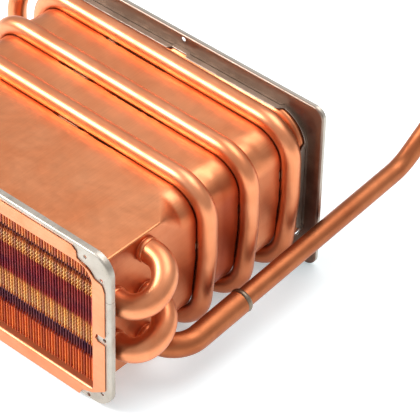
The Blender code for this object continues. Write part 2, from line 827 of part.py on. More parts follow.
def main():
    clear_scene()
    parts = new_collection("water_heater_heat_exchanger")
    cutters = new_collection("cutters")
    cutters.hide_render = True
    make_shell(parts, cutters)
    make_frame(parts, cutters)
    make_burner_collar(parts, cutters)
    make_burner_flange(parts, cutters)
    make_fin_pack(parts, cutters)
    places = tube_places()
    for number, (y, z) in enumerate(places, start=1):
        make_fin_tube(number, y, z, parts)
    top, middle, bottom, upper_front, lower_front = places
    make_return_bend("return_bend_right_upper", 1, top, upper_front, parts)
    make_return_bend("return_bend_right_lower", 1, middle, lower_front, parts)
    make_return_bend("return_bend_left_upper", -1, upper_front, middle, parts)
    make_return_bend("return_bend_left_lower", -1, lower_front, bottom, parts)
    make_coil(parts)
    make_riser(parts)
    make_inlet(parts, cutters)
    make_outlet(parts, cutters)
    stand_on_origin(parts)


main()
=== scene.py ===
# %% [markdown]
# # A copper water heater heat exchanger
# The object is the heart of a gas water heater. Hot gas rises from a burner through a copper duct,
# a coil round the duct keeps its sheet cool, and a pack of thin fins at the far end takes up the rest
# of the heat. Here it lies on its back: fins towards -Y, burner end towards +Y.
# Every size below is in millimetres in the duct's own axes and is turned into metres once, when a
# mesh is made. The duct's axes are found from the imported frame, so nothing has to be fitted by eye.

# %% Load the frame
import math

import bpy
import numpy as np
from mathutils import Matrix, Vector


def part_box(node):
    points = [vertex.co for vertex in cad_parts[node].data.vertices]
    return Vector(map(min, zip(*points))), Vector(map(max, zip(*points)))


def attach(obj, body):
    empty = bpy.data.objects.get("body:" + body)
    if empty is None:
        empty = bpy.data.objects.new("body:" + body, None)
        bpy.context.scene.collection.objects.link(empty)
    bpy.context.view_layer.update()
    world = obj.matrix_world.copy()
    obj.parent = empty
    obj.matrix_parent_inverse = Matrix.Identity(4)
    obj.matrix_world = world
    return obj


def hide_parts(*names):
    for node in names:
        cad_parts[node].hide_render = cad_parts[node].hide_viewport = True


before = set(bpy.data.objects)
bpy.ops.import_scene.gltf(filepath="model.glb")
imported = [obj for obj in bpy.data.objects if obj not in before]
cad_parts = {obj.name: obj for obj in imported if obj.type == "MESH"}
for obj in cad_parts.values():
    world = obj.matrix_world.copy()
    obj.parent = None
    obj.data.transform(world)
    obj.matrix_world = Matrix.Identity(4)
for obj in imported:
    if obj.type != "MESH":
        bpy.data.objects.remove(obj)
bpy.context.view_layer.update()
MM = 0.001
FLANGE_FACE = -1.1
FLANGE_BOTTOM = -69.0
shell_low, shell_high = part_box("shell")
ORIGIN = np.array(
    [
        (shell_low.x + shell_high.x) / 2,
        shell_low.y - FLANGE_FACE * MM,
        shell_low.z - FLANGE_BOTTOM * MM,
    ]
)
print("duct axes start at", ORIGIN.round(5), "metres")

# %% [markdown]
# ## Sizes
# These repeat the driving sizes of the CAD model, so that each finished surface covers the solid it
# stands for. Keeping them in one place means that a groove and the tube in it can't drift apart.

# %% Driving sizes
SHELL_HALF_WIDTH = 120.8
SHELL_HALF_HEIGHT = 55.0
SHELL_WALL = 1.0
SHELL_END = 217.0
FIN_BOX_DEPTH = 66.0
BODY_START = 89.0
BODY_CORNER = 24.0
COIL_RADIUS = 7.5
COIL_STANDOFF = 4.0
COIL_CORNER = 26.0
COIL_TURNS = np.array([109.1, 153.8, 198.9])
COIL_UNDERSIDE = -63.0
COIL_LOW = -37.0
COIL_TOP = SHELL_HALF_HEIGHT + COIL_STANDOFF
FIN_TUBE_RADIUS = 9.0
SOCKET_RADIUS = 9.9
BEND_RADIUS = 9.2
TUBE_WALL = 0.8
TUBES = [(50.4, 41.9), (50.4, 1.5), (50.4, -38.9), (18.0, 17.5), (18.0, -22.9)]
COLLAR = (126.5, -62.0, 62.0, 27.0)
BURNER = (138.5, -73.6, 73.6, 9.0)
BURNER_FACE = 217.0
FRAME = (135.3, -69.1, 69.1, 16.0)
PIPE_RADIUS = 7.5
PORT_END = 405.0
PORT_Z = 40.0
INLET_X = -162.8
OUTLET_X = 160.2
INLET_JOINT = (INLET_X, 209.7, -15.0)
RISER_FOOT = (-132.0, 84.0, -12.0)
RISER_REACH = -154.0
ELBOW_END = np.array([150.4, 117.1, -34.3])
OUTLET_RUN = np.array([-0.01, 1.0, 0.07]) / np.linalg.norm([-0.01, 1.0, 0.07])
OUTLET_KINK = (148.5, 302.0, -21.4)
OUTLET_RISE = (OUTLET_X, 357.8, PORT_Z)
ELBOW_BEND = 22.5
KINK_BEND = 26.0
RISE_BEND = 40.0
INLET_BEND = 26.0
print("coil turns at", COIL_TURNS, "mm from the frame's face")

# %% [markdown]
# ## From a grid of points to a mesh
# Almost every surface here is a rectangular grid of points bent into shape. Grid row i and column j
# make one square with row i + 1 and column j + 1. When the last row or column joins the first one
# again, the surface closes on itself like a ring. Whole arrays go into the mesh at once.

# %% Grid to mesh
def grid_quads(rows, columns, wrap_rows, wrap_columns):
    """Corner numbers of every square: (i, j), (i, j+1), (i+1, j+1), (i+1, j), with i and j taken
    modulo the grid's size where it wraps."""
    i = np.arange(rows if wrap_rows else rows - 1)[:, None]
    j = np.arange(columns if wrap_columns else columns - 1)[None, :]
    below = (i + 1) % rows
    beside = (j + 1) % columns
    corners = [i * columns + j, i * columns + beside, below * columns + beside, below * columns + j]
    return np.stack(np.broadcast_arrays(*corners), -1).reshape(-1, 4)


def turned_outwards(points, quads):
    """A closed mesh has a positive volume when its faces look outwards. Volume is the sum over
    triangles of p0 . (p1 x p2) / 6; if it comes out negative, every face is turned round."""
    p = points[quads]
    first = np.einsum("ij,ij->i", p[:, 0], np.cross(p[:, 1], p[:, 2])).sum()
    second = np.einsum("ij,ij->i", p[:, 0], np.cross(p[:, 2], p[:, 3])).sum()
    return quads if first + second > 0 else quads[:, ::-1]


def mesh_from(name, points, quads, uv=None, values=None):
    """Puts points (n, 3) in mm and quads (m, 4) into a new mesh in metres. uv is one pair per point,
    and values maps an attribute's name to one number per point."""
    quads = turned_outwards(points, quads)
    mesh = bpy.data.meshes.new(name)
    mesh.vertices.add(len(points))
    mesh.vertices.foreach_set("co", (points * MM + ORIGIN).astype(np.float32).ravel())
    mesh.loops.add(quads.size)
    mesh.loops.foreach_set("vertex_index", quads.astype(np.int32).ravel())
    mesh.polygons.add(len(quads))
    mesh.polygons.foreach_set("loop_start", np.arange(0, quads.size, 4, dtype=np.int32))
    if uv is not None:
        layer = mesh.uv_layers.new(name="UVMap")
        layer.data.foreach_set("uv", uv[quads.ravel()].astype(np.float32).ravel())
    for label, numbers in (values or {}).items():
        attribute = mesh.attributes.new(label, "FLOAT", "POINT")
        attribute.data.foreach_set("value", numbers.astype(np.float32).ravel())
    mesh.update()
    mesh.validate()
    return mesh


def closed_grid(name, points, uv=None, values=None):
    """A grid (rows, columns, 3) that closes on itself both ways, made into one closed skin."""
    rows, columns = points.shape[:2]
    pairs = None if uv is None else uv.reshape(-1, 2)
    return mesh_from(name, points.reshape(-1, 3), grid_quads(rows, columns, True, True), pairs, values)


def in_scene(name, data):
    """A new object in the scene, at the origin."""
    obj = bpy.data.objects.new(name, data)
    bpy.context.scene.collection.objects.link(obj)
    return obj


def add_piece(name, mesh, finish, replaced, body="exchanger", sharp=38):
    """Shows a finished mesh: smooth but for edges sharper than the angle, riding on its body."""
    mesh.materials.clear()
    mesh.materials.append(finish)
    mesh.shade_smooth()
    mesh.set_sharp_from_angle(angle=math.radians(sharp))
    obj = in_scene(name, mesh)
    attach(obj, body)
    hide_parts(*replaced)
    print(f"{name}: {len(mesh.polygons)} faces on {body}")


# %% [markdown]
# ## Outlines and rings
# The duct, the collar, the frame and the flange are all rounded rectangles. One function gives their
# points and the direction that faces outwards at each point, always in the same order, so a sheet can
# be laid between any two of them column by column.

# %% Rounded rectangle
def outline(half_width, low, high, radius, per_corner=14, per_side=30):
    """Points (..., columns, 2) as (x, z) and outward directions (columns, 2).
    A corner is centre + radius * (cos a, sin a) with a from 90k to 90k + 90 degrees. A side is the
    straight line from one corner's end to the next one's start. Arrays are taken side by side."""
    sizes = [np.asarray(value, float) for value in (half_width, low, high, radius)]
    half_width, low, high, radius = np.broadcast_arrays(*sizes)
    corners = []
    facing = []
    for k, (across, up) in enumerate(((1, 1), (-1, 1), (-1, -1), (1, -1))):
        angle = np.pi / 2 * (k + np.linspace(0, 1, per_corner))
        spoke = np.stack([np.cos(angle), np.sin(angle)], -1)
        centre_z = high - radius if up > 0 else low + radius
        centre = np.stack([across * (half_width - radius), centre_z], -1)[..., None, :]
        corners.append(centre + radius[..., None, None] * spoke)
        facing.append(spoke)
    share = np.linspace(0, 1, per_side + 2)[1:-1, None]
    points = []
    normals = []
    for k in range(4):
        start = corners[k][..., -1:, :]
        points += [corners[k], start + (corners[(k + 1) % 4][..., :1, :] - start) * share]
        normals += [facing[k], np.repeat(facing[k][-1:], per_side, 0)]
    return np.concatenate(points, -2), np.concatenate(normals, 0)


def eased(value, low, high):
    """0 below low, 1 above high, and a smooth S between."""
    share = np.clip((value - low) / (high - low), 0, 1)
    return share * share * (3 - 2 * share)


def with_depth(flat, y):
    """(x, z) points become (x, y, z) points, with y given for each one or for all."""
    y = np.broadcast_to(y, flat.shape[:-1])
    return np.stack([flat[..., 0], y, flat[..., 1]], -1)


PAST_BEND = 2.5


def pressed_ring(name, shape, profile, hole, per_corner=24, per_side=30):
    """A pressed sheet ring. profile is a closed loop of (inset, y): each of its points becomes a whole
    rounded rectangle, inset that far from the outer one, and the rectangles are joined in order. Points
    past the bend slide over to the hole's own outline."""
    half_width, low, high, radius = shape
    inset = np.array([p[0] for p in profile])
    y = np.array([p[1] for p in profile])
    corner = np.maximum(radius - inset, 0.5)
    flat, _ = outline(half_width - inset, low + inset, high - inset, corner, per_corner, per_side)
    share = np.clip((inset - PAST_BEND) / (inset.max() - PAST_BEND), 0, 1)[:, None, None]
    edge, _ = outline(*hole, per_corner, per_side)
    flat = flat * (1 - share) + edge * share
    return closed_grid(name, with_depth(flat, y[:, None]))


def quarter(centre, radius, start, stop, count):
    """Points on an arc, as (inset, y) pairs: centre + radius * (cos a, sin a)."""
    angle = np.radians(np.linspace(start, stop, count))
    return [(centre[0] + radius * c, centre[1] + radius * s) for c, s in zip(np.cos(angle), np.sin(angle))]


# %% [markdown]
# ## Lines that tubes follow
# Every tube here is bent copper pipe: straight runs joined by round bends. The line is written as its
# corners with a bend radius each, then walked at even steps and smoothed a little, which takes away the
# slight kinks where runs of different slope meet, as drawing a real tube over a former does.

# %% Lines
ARC_POINTS = 24


def rounded_line(corners):
    """Corners are (point, bend radius). At each inner corner the line leaves one run at a tangent
    point, follows the circle that touches both runs, and joins the next run."""
    points = [np.array(corners[0][0], float)[None]]
    for (before, _), (here, radius), (after, _) in zip(corners, corners[1:], corners[2:]):
        here = np.array(here, float)
        back = np.array(before, float) - here
        ahead = np.array(after, float) - here
        back /= np.linalg.norm(back)
        ahead /= np.linalg.norm(ahead)
        turn = math.pi - math.acos(np.clip(back @ ahead, -1, 1))
        tangent = radius * math.tan(turn / 2)
        middle = (back + ahead) / np.linalg.norm(back + ahead)
        centre = here + middle * (radius / math.cos(turn / 2))
        first = here + back * tangent - centre
        last = here + ahead * tangent - centre
        share = np.linspace(0, 1, ARC_POINTS)[:, None]
        spoke = first * np.sin((1 - share) * turn) + last * np.sin(share * turn)
        points.append(centre + spoke / math.sin(turn))
    points.append(np.array(corners[-1][0], float)[None])
    return np.concatenate(points)


def length_along(line):
    """The distance walked from the line's start to each of its points."""
    return np.concatenate([[0], np.cumsum(np.linalg.norm(np.diff(line, axis=0), axis=1))])


def even_line(points, step, softness=0.0):
    """The same line at even steps, by linear interpolation over its length. softness is the width in
    mm of a bell-shaped running average, which never moves the two ends."""
    length = length_along(points)
    keep = np.concatenate([[True], np.diff(length) > 1e-6])
    count = max(int(length[-1] / step), 2)
    where = np.linspace(0, length[-1], count + 1)
    line = np.stack([np.interp(where, length[keep], points[keep, k]) for k in range(3)], -1)
    if softness > 0:
        reach = int(3 * softness / step) + 1
        bell = np.exp(-0.5 * (np.arange(-reach, reach + 1) * step / softness) ** 2)
        bell /= bell.sum()
        ahead = 2 * line[:1] - line[reach:0:-1]
        behind = 2 * line[-1:] - line[-2 : -reach - 2 : -1]
        padded = np.concatenate([ahead, line, behind])
        line = np.stack([np.convolve(padded[:, k], bell, "valid") for k in range(3)], -1)
    return line


def tube_points(line, radius, upright, sides):
    """A ring of points round each point of the line. The ring stands square to the line: its two axes
    are side = tangent x upright and top = side x tangent. radius may differ from ring to ring."""
    tangent = np.gradient(line, axis=0)
    tangent /= np.linalg.norm(tangent, axis=1, keepdims=True)
    side = np.cross(tangent, upright)
    side /= np.linalg.norm(side, axis=1, keepdims=True)
    top = np.cross(side, tangent)
    angle = np.linspace(0, 2 * np.pi, sides, endpoint=False)[None, :, None]
    radius = np.broadcast_to(radius, len(line))[:, None, None]
    return line[:, None] + radius * (np.cos(angle) * side[:, None] + np.sin(angle) * top[:, None])


def there_and_back(sides):
    """0 to 1 and back to 0 over one turn, 1 - |1 - 2 j / sides|, so that the two ends of a turn meet."""
    return (1 - np.abs(1 - 2 * np.arange(sides) / sides))[None, :]


def tube_mesh(name, line, radius, upright, sides=36, wall=TUBE_WALL):
    """An open-ended tube: rings down the outside, then back up the bore, closed into one skin."""
    outside = tube_points(line, radius, upright, sides)
    inside = tube_points(line, np.asarray(radius) - wall, upright, sides)[::-1]
    run = length_along(line) * MM
    along = np.concatenate([run, run[::-1]])[:, None]
    uv = np.stack(np.broadcast_arrays(along, there_and_back(sides)), -1)
    return closed_grid(name, np.concatenate([outside, inside]), uv)


def turned_mesh(name, profile, start, direction, sides=72):
    """A turned ring: a closed loop of (radius, distance along the axis) carried once round the axis."""
    axis = np.array(direction, float) / np.linalg.norm(direction)
    helper = np.array([1.0, 0, 0]) if abs(axis[0]) < 0.9 else np.array([0, 0, 1.0])
    side = np.cross(axis, helper)
    side /= np.linalg.norm(side)
    other = np.cross(axis, side)
    angle = np.linspace(0, 2 * np.pi, sides, endpoint=False)[None, :, None]
    radius = np.array([p[0] for p in profile])[:, None, None]
    along = np.array([p[1] for p in profile])[:, None, None]
    spoke = np.cos(angle) * side + np.sin(angle) * other
    points = np.array(start, float) + along * axis + radius * spoke
    uv = np.stack(np.broadcast_arrays(along[:, :, 0] * MM, there_and_back(sides)), -1)
    return closed_grid(name, points, uv)


# %% [markdown]
# ## Shared effects for the finishes
# Three effects are used by several metals, so each is a node group: smudges (broad soft patches that
# change colour and gloss), grain (the fine lines that rolling or turning leaves), and pits (small dark
# specks). A group gives out only masks; each material decides what they change.

# %% Node helpers
class Nodes:
    """A short way to place nodes in one tree and wire them up."""

    def __init__(self, tree):
        self.tree = tree

    def add(self, kind, settings=None, **inputs):
        node = self.tree.nodes.new(kind)
        for name, value in (settings or {}).items():
            setattr(node, name, value)
        for name, value in inputs.items():
            self.put(node, name.replace("_", " "), value)
        return node

    def put(self, node, name, value):
        socket = node.inputs[int(name)] if name.isdigit() else node.inputs[name]
        if isinstance(value, bpy.types.NodeSocket):
            self.tree.links.new(value, socket)
        else:
            socket.default_value = value

    def noise(self, vector, scale, detail, roughness=0.5):
        settings = {"Vector": vector, "Scale": scale, "Detail": detail, "Roughness": roughness}
        return self.add("ShaderNodeTexNoise", **settings).outputs["Fac"]

    def attribute(self, label):
        return self.add("ShaderNodeAttribute", {"attribute_name": label}).outputs["Fac"]

    def axis(self, vector, letter):
        return self.add("ShaderNodeSeparateXYZ", Vector=vector).outputs[letter]

    def spread(self, value, low, high, to_low=0.0, to_high=1.0):
        node = self.add("ShaderNodeMapRange", From_Min=low, From_Max=high, To_Min=to_low, To_Max=to_high)
        self.put(node, "Value", value)
        return node.outputs["Result"]

    def math(self, operation, a, b=0.0):
        node = self.add("ShaderNodeMath", {"operation": operation})
        self.put(node, "0", a)
        self.put(node, "1", b)
        return node.outputs[0]

    def blend(self, share, a, b, kind="MIX"):
        node = self.add("ShaderNodeMix", {"data_type": "RGBA", "blend_type": kind})
        for number, given in ((0, share), (6, a), (7, b)):
            self.put(node, str(number), given)
        return node.outputs[2]


def new_group(name, inputs, outputs):
    group = bpy.data.node_groups.new(name, "ShaderNodeTree")
    for label, kind, value in inputs:
        socket = group.interface.new_socket(label, in_out="INPUT", socket_type=kind)
        if value is not None:
            socket.default_value = value
    for label in outputs:
        group.interface.new_socket(label, in_out="OUTPUT", socket_type="NodeSocketFloat")
    nodes = Nodes(group)
    return group, nodes, nodes.add("NodeGroupInput"), nodes.add("NodeGroupOutput")


# %% Smudges, grain and pits
FLOAT = "NodeSocketFloat"
VECTOR = "NodeSocketVector"


def smudge_group():
    """Broad patches: one soft noise bent by another, plus a finer cloud for finger marks."""
    group, nodes, given, out = new_group(
        "smudges", [("Vector", VECTOR, None), ("Scale", FLOAT, 30.0)], ["Patches", "Clouds"]
    )
    vector = given.outputs["Vector"]
    scale = given.outputs["Scale"]
    bend = nodes.add("ShaderNodeTexNoise", Vector=vector, Scale=scale, Detail=2.0)
    push = nodes.add("ShaderNodeVectorMath", {"operation": "MULTIPLY_ADD"})
    nodes.put(push, "0", bend.outputs["Color"])
    nodes.put(push, "1", (0.02, 0.02, 0.02))
    nodes.put(push, "2", vector)
    patches = nodes.noise(push.outputs[0], scale, 5.0, 0.55)
    clouds = nodes.noise(push.outputs[0], nodes.math("MULTIPLY", scale, 5.0), 6.0, 0.6)
    nodes.put(out, "Patches", nodes.spread(patches, 0.35, 0.65))
    nodes.put(out, "Clouds", nodes.spread(clouds, 0.3, 0.7))
    return group


def grain_group():
    """Fine lines: noise squeezed along two axes, so that it runs in streaks along the third."""
    group, nodes, given, out = new_group(
        "grain",
        [("Vector", VECTOR, None), ("Squeeze", VECTOR, (1.0, 40.0, 40.0)), ("Scale", FLOAT, 40.0)],
        ["Lines"],
    )
    squeeze = nodes.add("ShaderNodeVectorMath", {"operation": "MULTIPLY"})
    nodes.put(squeeze, "0", given.outputs["Vector"])
    nodes.put(squeeze, "1", given.outputs["Squeeze"])
    lines = nodes.noise(squeeze.outputs[0], given.outputs["Scale"], 3.0, 0.6)
    nodes.put(out, "Lines", nodes.spread(lines, 0.3, 0.7))
    return group


def pit_group():
    """Small specks: the cells of a Voronoi pattern, kept only near their centres."""
    group, nodes, given, out = new_group(
        "pits", [("Vector", VECTOR, None), ("Scale", FLOAT, 300.0), ("Size", FLOAT, 0.12)], ["Specks"]
    )
    cells = nodes.add("ShaderNodeTexVoronoi", Vector=given.outputs["Vector"], Scale=given.outputs["Scale"])
    near = nodes.math("LESS_THAN", cells.outputs["Distance"], given.outputs["Size"])
    nodes.put(out, "Specks", near)
    return group


SMUDGES = smudge_group()
GRAIN = grain_group()
PITS = pit_group()
print("shared effects:", SMUDGES.name, GRAIN.name, PITS.name)


# %% [markdown]
# ## The finishes
# Annealed copper is soft and takes every mark, so its colour wanders between pink, orange and brown,
# and its gloss changes with it. Beside each coil turn the sheet is painted a bright orange glow, a
# painted reflection of the tube, and a thin painted contact shade runs along the turn, with dark flux in
# the corner. The duct carries four numbers at each point: the glow and the contact shade say how close
# the coil is, burn how brown the sheet has become, and solder where it has run. The material turns
# them into colour.

# %% Copper
def start_metal(name):
    made = bpy.data.materials.new(name)
    made.use_nodes = True
    shader = made.node_tree.nodes["Principled BSDF"]
    shader.inputs["Metallic"].default_value = 1.0
    shader.inputs["Specular IOR Level"].default_value = 0.1
    nodes = Nodes(made.node_tree)
    where = nodes.add("ShaderNodeTexCoord").outputs["Object"]
    return made, shader, nodes, where


def place(nodes, group, **inputs):
    node = nodes.add("ShaderNodeGroup", {"node_tree": group})
    for name, value in inputs.items():
        nodes.put(node, name, value)
    return node.outputs


def bumped(nodes, shader, height, distance):
    bump = nodes.add("ShaderNodeBump", Height=height, Strength=0.12, Distance=distance)
    nodes.put(shader, "Normal", bump.outputs["Normal"])


GRAIN_BROWN = (0.55, 0.17, 0.07, 1)
# painted reflection: the orange glow of a coil turn on the sheet beside it, and painted light inside the
# mouth
PAINTED_GLOW_ORANGE = (1.0, 0.26, 0.02, 1)
BURNT_RED = (0.30, 0.038, 0.007, 1)
# painted shade: the black line where a coil turn meets the sheet
CONTACT_SHADE_BLACK = (0.05, 0.018, 0.010, 1)
FLUX_BROWN = (0.055, 0.022, 0.012, 1)
SOLDER_SILVER = (0.70, 0.66, 0.56, 1)
# painted shade: the coil tube is darkened towards the bottom
LOWER_PAINTED_SHADE = (0.36, 0.085, 0.03, 1)
# painted reflected light: red on the flange's roll and on the strip inside the mouth
PAINTED_GLOW_RED = (1.0, 0.20, 0.035, 1)


def copper_finish(
    name, base, deep, rough, squeeze,
    wrapped=False, heat=False, patch_scale=26.0, inner=False, painted_shade_below=None,
):
    """Copper: base and deep copper mixed by smudges, streaked by grain, which follows the tube when
    wrapped is on. With the mesh values switched on, they paint an orange reflected glow beside the coil,
    darken the sheet where it is burnt, paint a black contact shade and add solder, and with inner on,
    another one paints reflected red light on the edge inside the mouth. Below the given height in mm, the
    metal is browner with painted shade."""
    made, shader, nodes, where = start_metal(name)
    along = nodes.add("ShaderNodeTexCoord").outputs["UV"] if wrapped else where
    smudges = place(nodes, SMUDGES, Vector=where, Scale=patch_scale)
    lines = place(nodes, GRAIN, Vector=along, Squeeze=squeeze, Scale=30.0)["Lines"]
    colour = nodes.blend(nodes.math("MULTIPLY", smudges["Patches"], 0.8), base, deep)
    colour = nodes.blend(nodes.math("MULTIPLY", lines, 0.22), colour, GRAIN_BROWN)
    gloss = nodes.spread(smudges["Clouds"], 0.0, 1.0, rough - 0.04, rough + 0.08)
    if heat:
        near, burn, painted_contact_shade, soldered = map(nodes.attribute, ("heat", "burn", "contact_shade", "solder"))
        # painted reflection: the glow beside the coil turns the sheet orange and less metallic, so that it
        # reads bright
        painted_glow_share = nodes.math("MULTIPLY", near, nodes.spread(smudges["Patches"], 0.0, 1.0, 0.65, 1.0))
        colour = nodes.blend(painted_glow_share, colour, PAINTED_GLOW_ORANGE)
        nodes.put(shader, "Metallic", nodes.spread(painted_glow_share, 0.0, 1.0, 1.0, 0.5))
        colour = nodes.blend(burn, colour, BURNT_RED)
        # painted contact shade, made ragged by clouds
        ragged_contact_shade = nodes.math("MULTIPLY", painted_contact_shade, nodes.spread(smudges["Clouds"], 0.2, 0.8, 0.4, 1.0))
        colour = nodes.blend(ragged_contact_shade, colour, CONTACT_SHADE_BLACK)
        flux = nodes.math("ADD", soldered, nodes.spread(smudges["Clouds"], 0.0, 1.0, -0.25, 0.1))
        colour = nodes.blend(nodes.spread(flux, 0.22, 0.36), colour, FLUX_BROWN)
        colour = nodes.blend(nodes.spread(flux, 0.66, 0.78), colour, SOLDER_SILVER)
        gloss = nodes.math("ADD", gloss, nodes.math("MULTIPLY", ragged_contact_shade, 0.3))
    # painted shade: browner below the given height
    if painted_shade_below is not None:
        edge = float(ORIGIN[2]) + painted_shade_below * MM
        lower = nodes.spread(nodes.axis(where, "Z"), edge, edge - 0.05, 0.0, 0.75)
        colour = nodes.blend(lower, colour, LOWER_PAINTED_SHADE)
    # painted reflected light: the flange's edge inside the mouth is red and less metallic
    if inner:
        glow = nodes.attribute("inner")
        colour = nodes.blend(glow, colour, PAINTED_GLOW_RED)
        nodes.put(shader, "Metallic", nodes.spread(glow, 0.0, 1.0, 1.0, 0.25))
    nodes.put(shader, "Base Color", colour)
    nodes.put(shader, "Roughness", gloss)
    waves = nodes.math("MULTIPLY", smudges["Patches"], 1.5)
    bumped(nodes, shader, nodes.math("ADD", nodes.math("MULTIPLY", lines, 0.5), waves), 0.00012)
    return made


STREAKS = (1.2, 1.1, 1.0)
sheet_copper = copper_finish(
    "copper_sheet", (0.84, 0.34, 0.16, 1), (0.76, 0.25, 0.10, 1), 0.34, (40.0, 1.0, 40.0), heat=True
)
tube_copper = copper_finish(
    "copper_tube", (0.84, 0.345, 0.175, 1), (0.76, 0.25, 0.105, 1), 0.35, STREAKS,
    wrapped=True, painted_shade_below=5.0,
)
pipe_copper = copper_finish(
    "copper_pipe_dull", (0.46, 0.155, 0.062, 1), (0.31, 0.082, 0.03, 1), 0.45, STREAKS, wrapped=True
)
bend_copper = copper_finish(
    "copper_bend", (0.80, 0.32, 0.155, 1), (0.66, 0.20, 0.08, 1), 0.38, STREAKS,
    wrapped=True, patch_scale=34.0,
)
flange_copper = copper_finish(
    "copper_flange", (0.86, 0.36, 0.19, 1), (0.76, 0.28, 0.13, 1), 0.42, (1.0, 30.0, 30.0), inner=True
)


# %% [markdown]
# ## Fins
# The fins glow in bands. Their front edges have been tinted by the gas: straw yellow where they bend in
# front of a tube, purple and dark red between the tubes, orange copper at top and bottom, and near-black
# painted shade at the openings. The bands depend only on height, so they are a colour ramp read along
# Z, made ragged by noise.

# %% Tinted fins
FIN_LOW = -51.5
# tint colours by height; the near-black marks at the openings, -29 to -18.5 mm and 40 to 43 mm, are painted
# shade
FIN_TINT_AND_SHADE_BANDS = (
    (FIN_LOW, (0.80, 0.13, 0.03)),
    (-46.0, (1.0, 0.25, 0.05)),
    (-31.0, (0.95, 0.20, 0.05)),
    (-29.0, (0.16, 0.03, 0.05)),
    (-18.5, (0.09, 0.03, 0.06)),
    (-16.5, (0.95, 0.30, 0.06)),
    (-13.5, (1.0, 0.60, 0.20)),
    (-0.5, (1.0, 0.48, 0.12)),
    (2.5, (0.42, 0.03, 0.035)),
    (12.5, (0.22, 0.025, 0.05)),
    (14.5, (0.34, 0.03, 0.05)),
    (26.5, (0.40, 0.035, 0.035)),
    (28.5, (1.0, 0.45, 0.10)),
    (35.0, (1.0, 0.66, 0.24)),
    (38.5, (0.85, 0.30, 0.08)),
    (40.0, (0.09, 0.025, 0.035)),
    (43.0, (0.14, 0.03, 0.03)),
    (44.5, (1.0, 0.36, 0.12)),
)


PURPLE_TINT = (0.36, 0.22, 0.62, 1)


def fin_finish():
    """The ramp gives the tint, and painted shade at the openings. Fins are turned towards purple by the
    mesh's own tint value.
    The metal is dull enough to show its tint down between the fins, where little light gets."""
    made, shader, nodes, where = start_metal("copper_fin_tinted")
    half = SHELL_HALF_HEIGHT
    low, high = (float(ORIGIN[2]) + side * half * MM for side in (-1, 1))
    wobble = nodes.spread(nodes.noise(where, 300.0, 2.0), 0.0, 1.0, -0.014, 0.014)
    share = nodes.math("ADD", nodes.spread(nodes.axis(where, "Z"), low, high), wobble)
    ramp = nodes.add("ShaderNodeValToRGB", Fac=share)
    marks = ramp.color_ramp.elements
    marks.remove(marks[1])
    marks[0].position = (FIN_TINT_AND_SHADE_BANDS[0][0] + half) / (2 * half)
    marks[0].color = (*FIN_TINT_AND_SHADE_BANDS[0][1], 1)
    for z, colour in FIN_TINT_AND_SHADE_BANDS[1:]:
        marks.new((z + half) / (2 * half)).color = (*colour, 1)
    darker = nodes.blend(1.0, ramp.outputs["Color"], PURPLE_TINT, "MULTIPLY")
    colour = nodes.blend(nodes.attribute("tint"), ramp.outputs["Color"], darker)
    smudges = place(nodes, SMUDGES, Vector=where, Scale=120.0)
    colour = nodes.blend(nodes.math("MULTIPLY", smudges["Patches"], 0.2), colour, (0.8, 0.2, 0.08, 1))
    nodes.put(shader, "Base Color", colour)
    shader.inputs["Metallic"].default_value = 0.3
    nodes.put(shader, "Roughness", nodes.spread(smudges["Clouds"], 0.0, 1.0, 0.25, 0.42))
    return made


fin_copper = fin_finish()


# %% [markdown]
# ## Steel, solder, brass and fibre
# The frame is plain pressed steel, beige-grey and satin. The collar and the flange sit by the burner, so
# they are browned. Solder is grey-brown, the nuts are turned brass, and the seals are pressed fibre.

# %% Steel and the rest
SPECK_BROWN = (0.09, 0.07, 0.05, 1)
PALE_STEEL = (0.30, 0.225, 0.18, 1)
# painted highlight colour for the burner flange's turned-back lip
LIP_HIGHLIGHT_STEEL = (0.50, 0.45, 0.39, 1)


def steel_finish(name, base, deep, rough, metallic=1.0, squeeze=(1.0, 40.0, 40.0), highlight_from=None):
    """Pressed steel: two greys mixed by smudges, grain along the sheet and a few dark specks. Beyond
    the given depth, in mm, a painted highlight makes the metal bright, and it is paler high up."""
    made, shader, nodes, where = start_metal(name)
    shader.inputs["Metallic"].default_value = metallic
    smudges = place(nodes, SMUDGES, Vector=where, Scale=45.0)
    lines = place(nodes, GRAIN, Vector=where, Squeeze=squeeze, Scale=30.0)["Lines"]
    specks = place(nodes, PITS, Vector=where, Scale=420.0, Size=0.11)["Specks"]
    colour = nodes.blend(smudges["Patches"], base, deep)
    colour = nodes.blend(nodes.math("MULTIPLY", lines, 0.2), colour, deep)
    colour = nodes.blend(nodes.math("MULTIPLY", specks, 0.6), colour, SPECK_BROWN)
    if highlight_from:
        middle = float(ORIGIN[2])
        paler = nodes.spread(nodes.axis(where, "Z"), middle + 0.030, middle + 0.060)
        colour = nodes.blend(paler, colour, PALE_STEEL)
        # painted highlight: the turned-back lip past the given depth is painted pale
        edge = float(ORIGIN[1]) + highlight_from * MM
        lip_highlight = nodes.spread(nodes.axis(where, "Y"), edge - 0.0002, edge + 0.0002)
        colour = nodes.blend(lip_highlight, colour, LIP_HIGHLIGHT_STEEL)
    nodes.put(shader, "Base Color", colour)
    nodes.put(shader, "Roughness", nodes.spread(smudges["Clouds"], 0.0, 1.0, rough - 0.06, rough + 0.08))
    bumped(nodes, shader, nodes.math("ADD", lines, smudges["Patches"]), 0.0001)
    return made


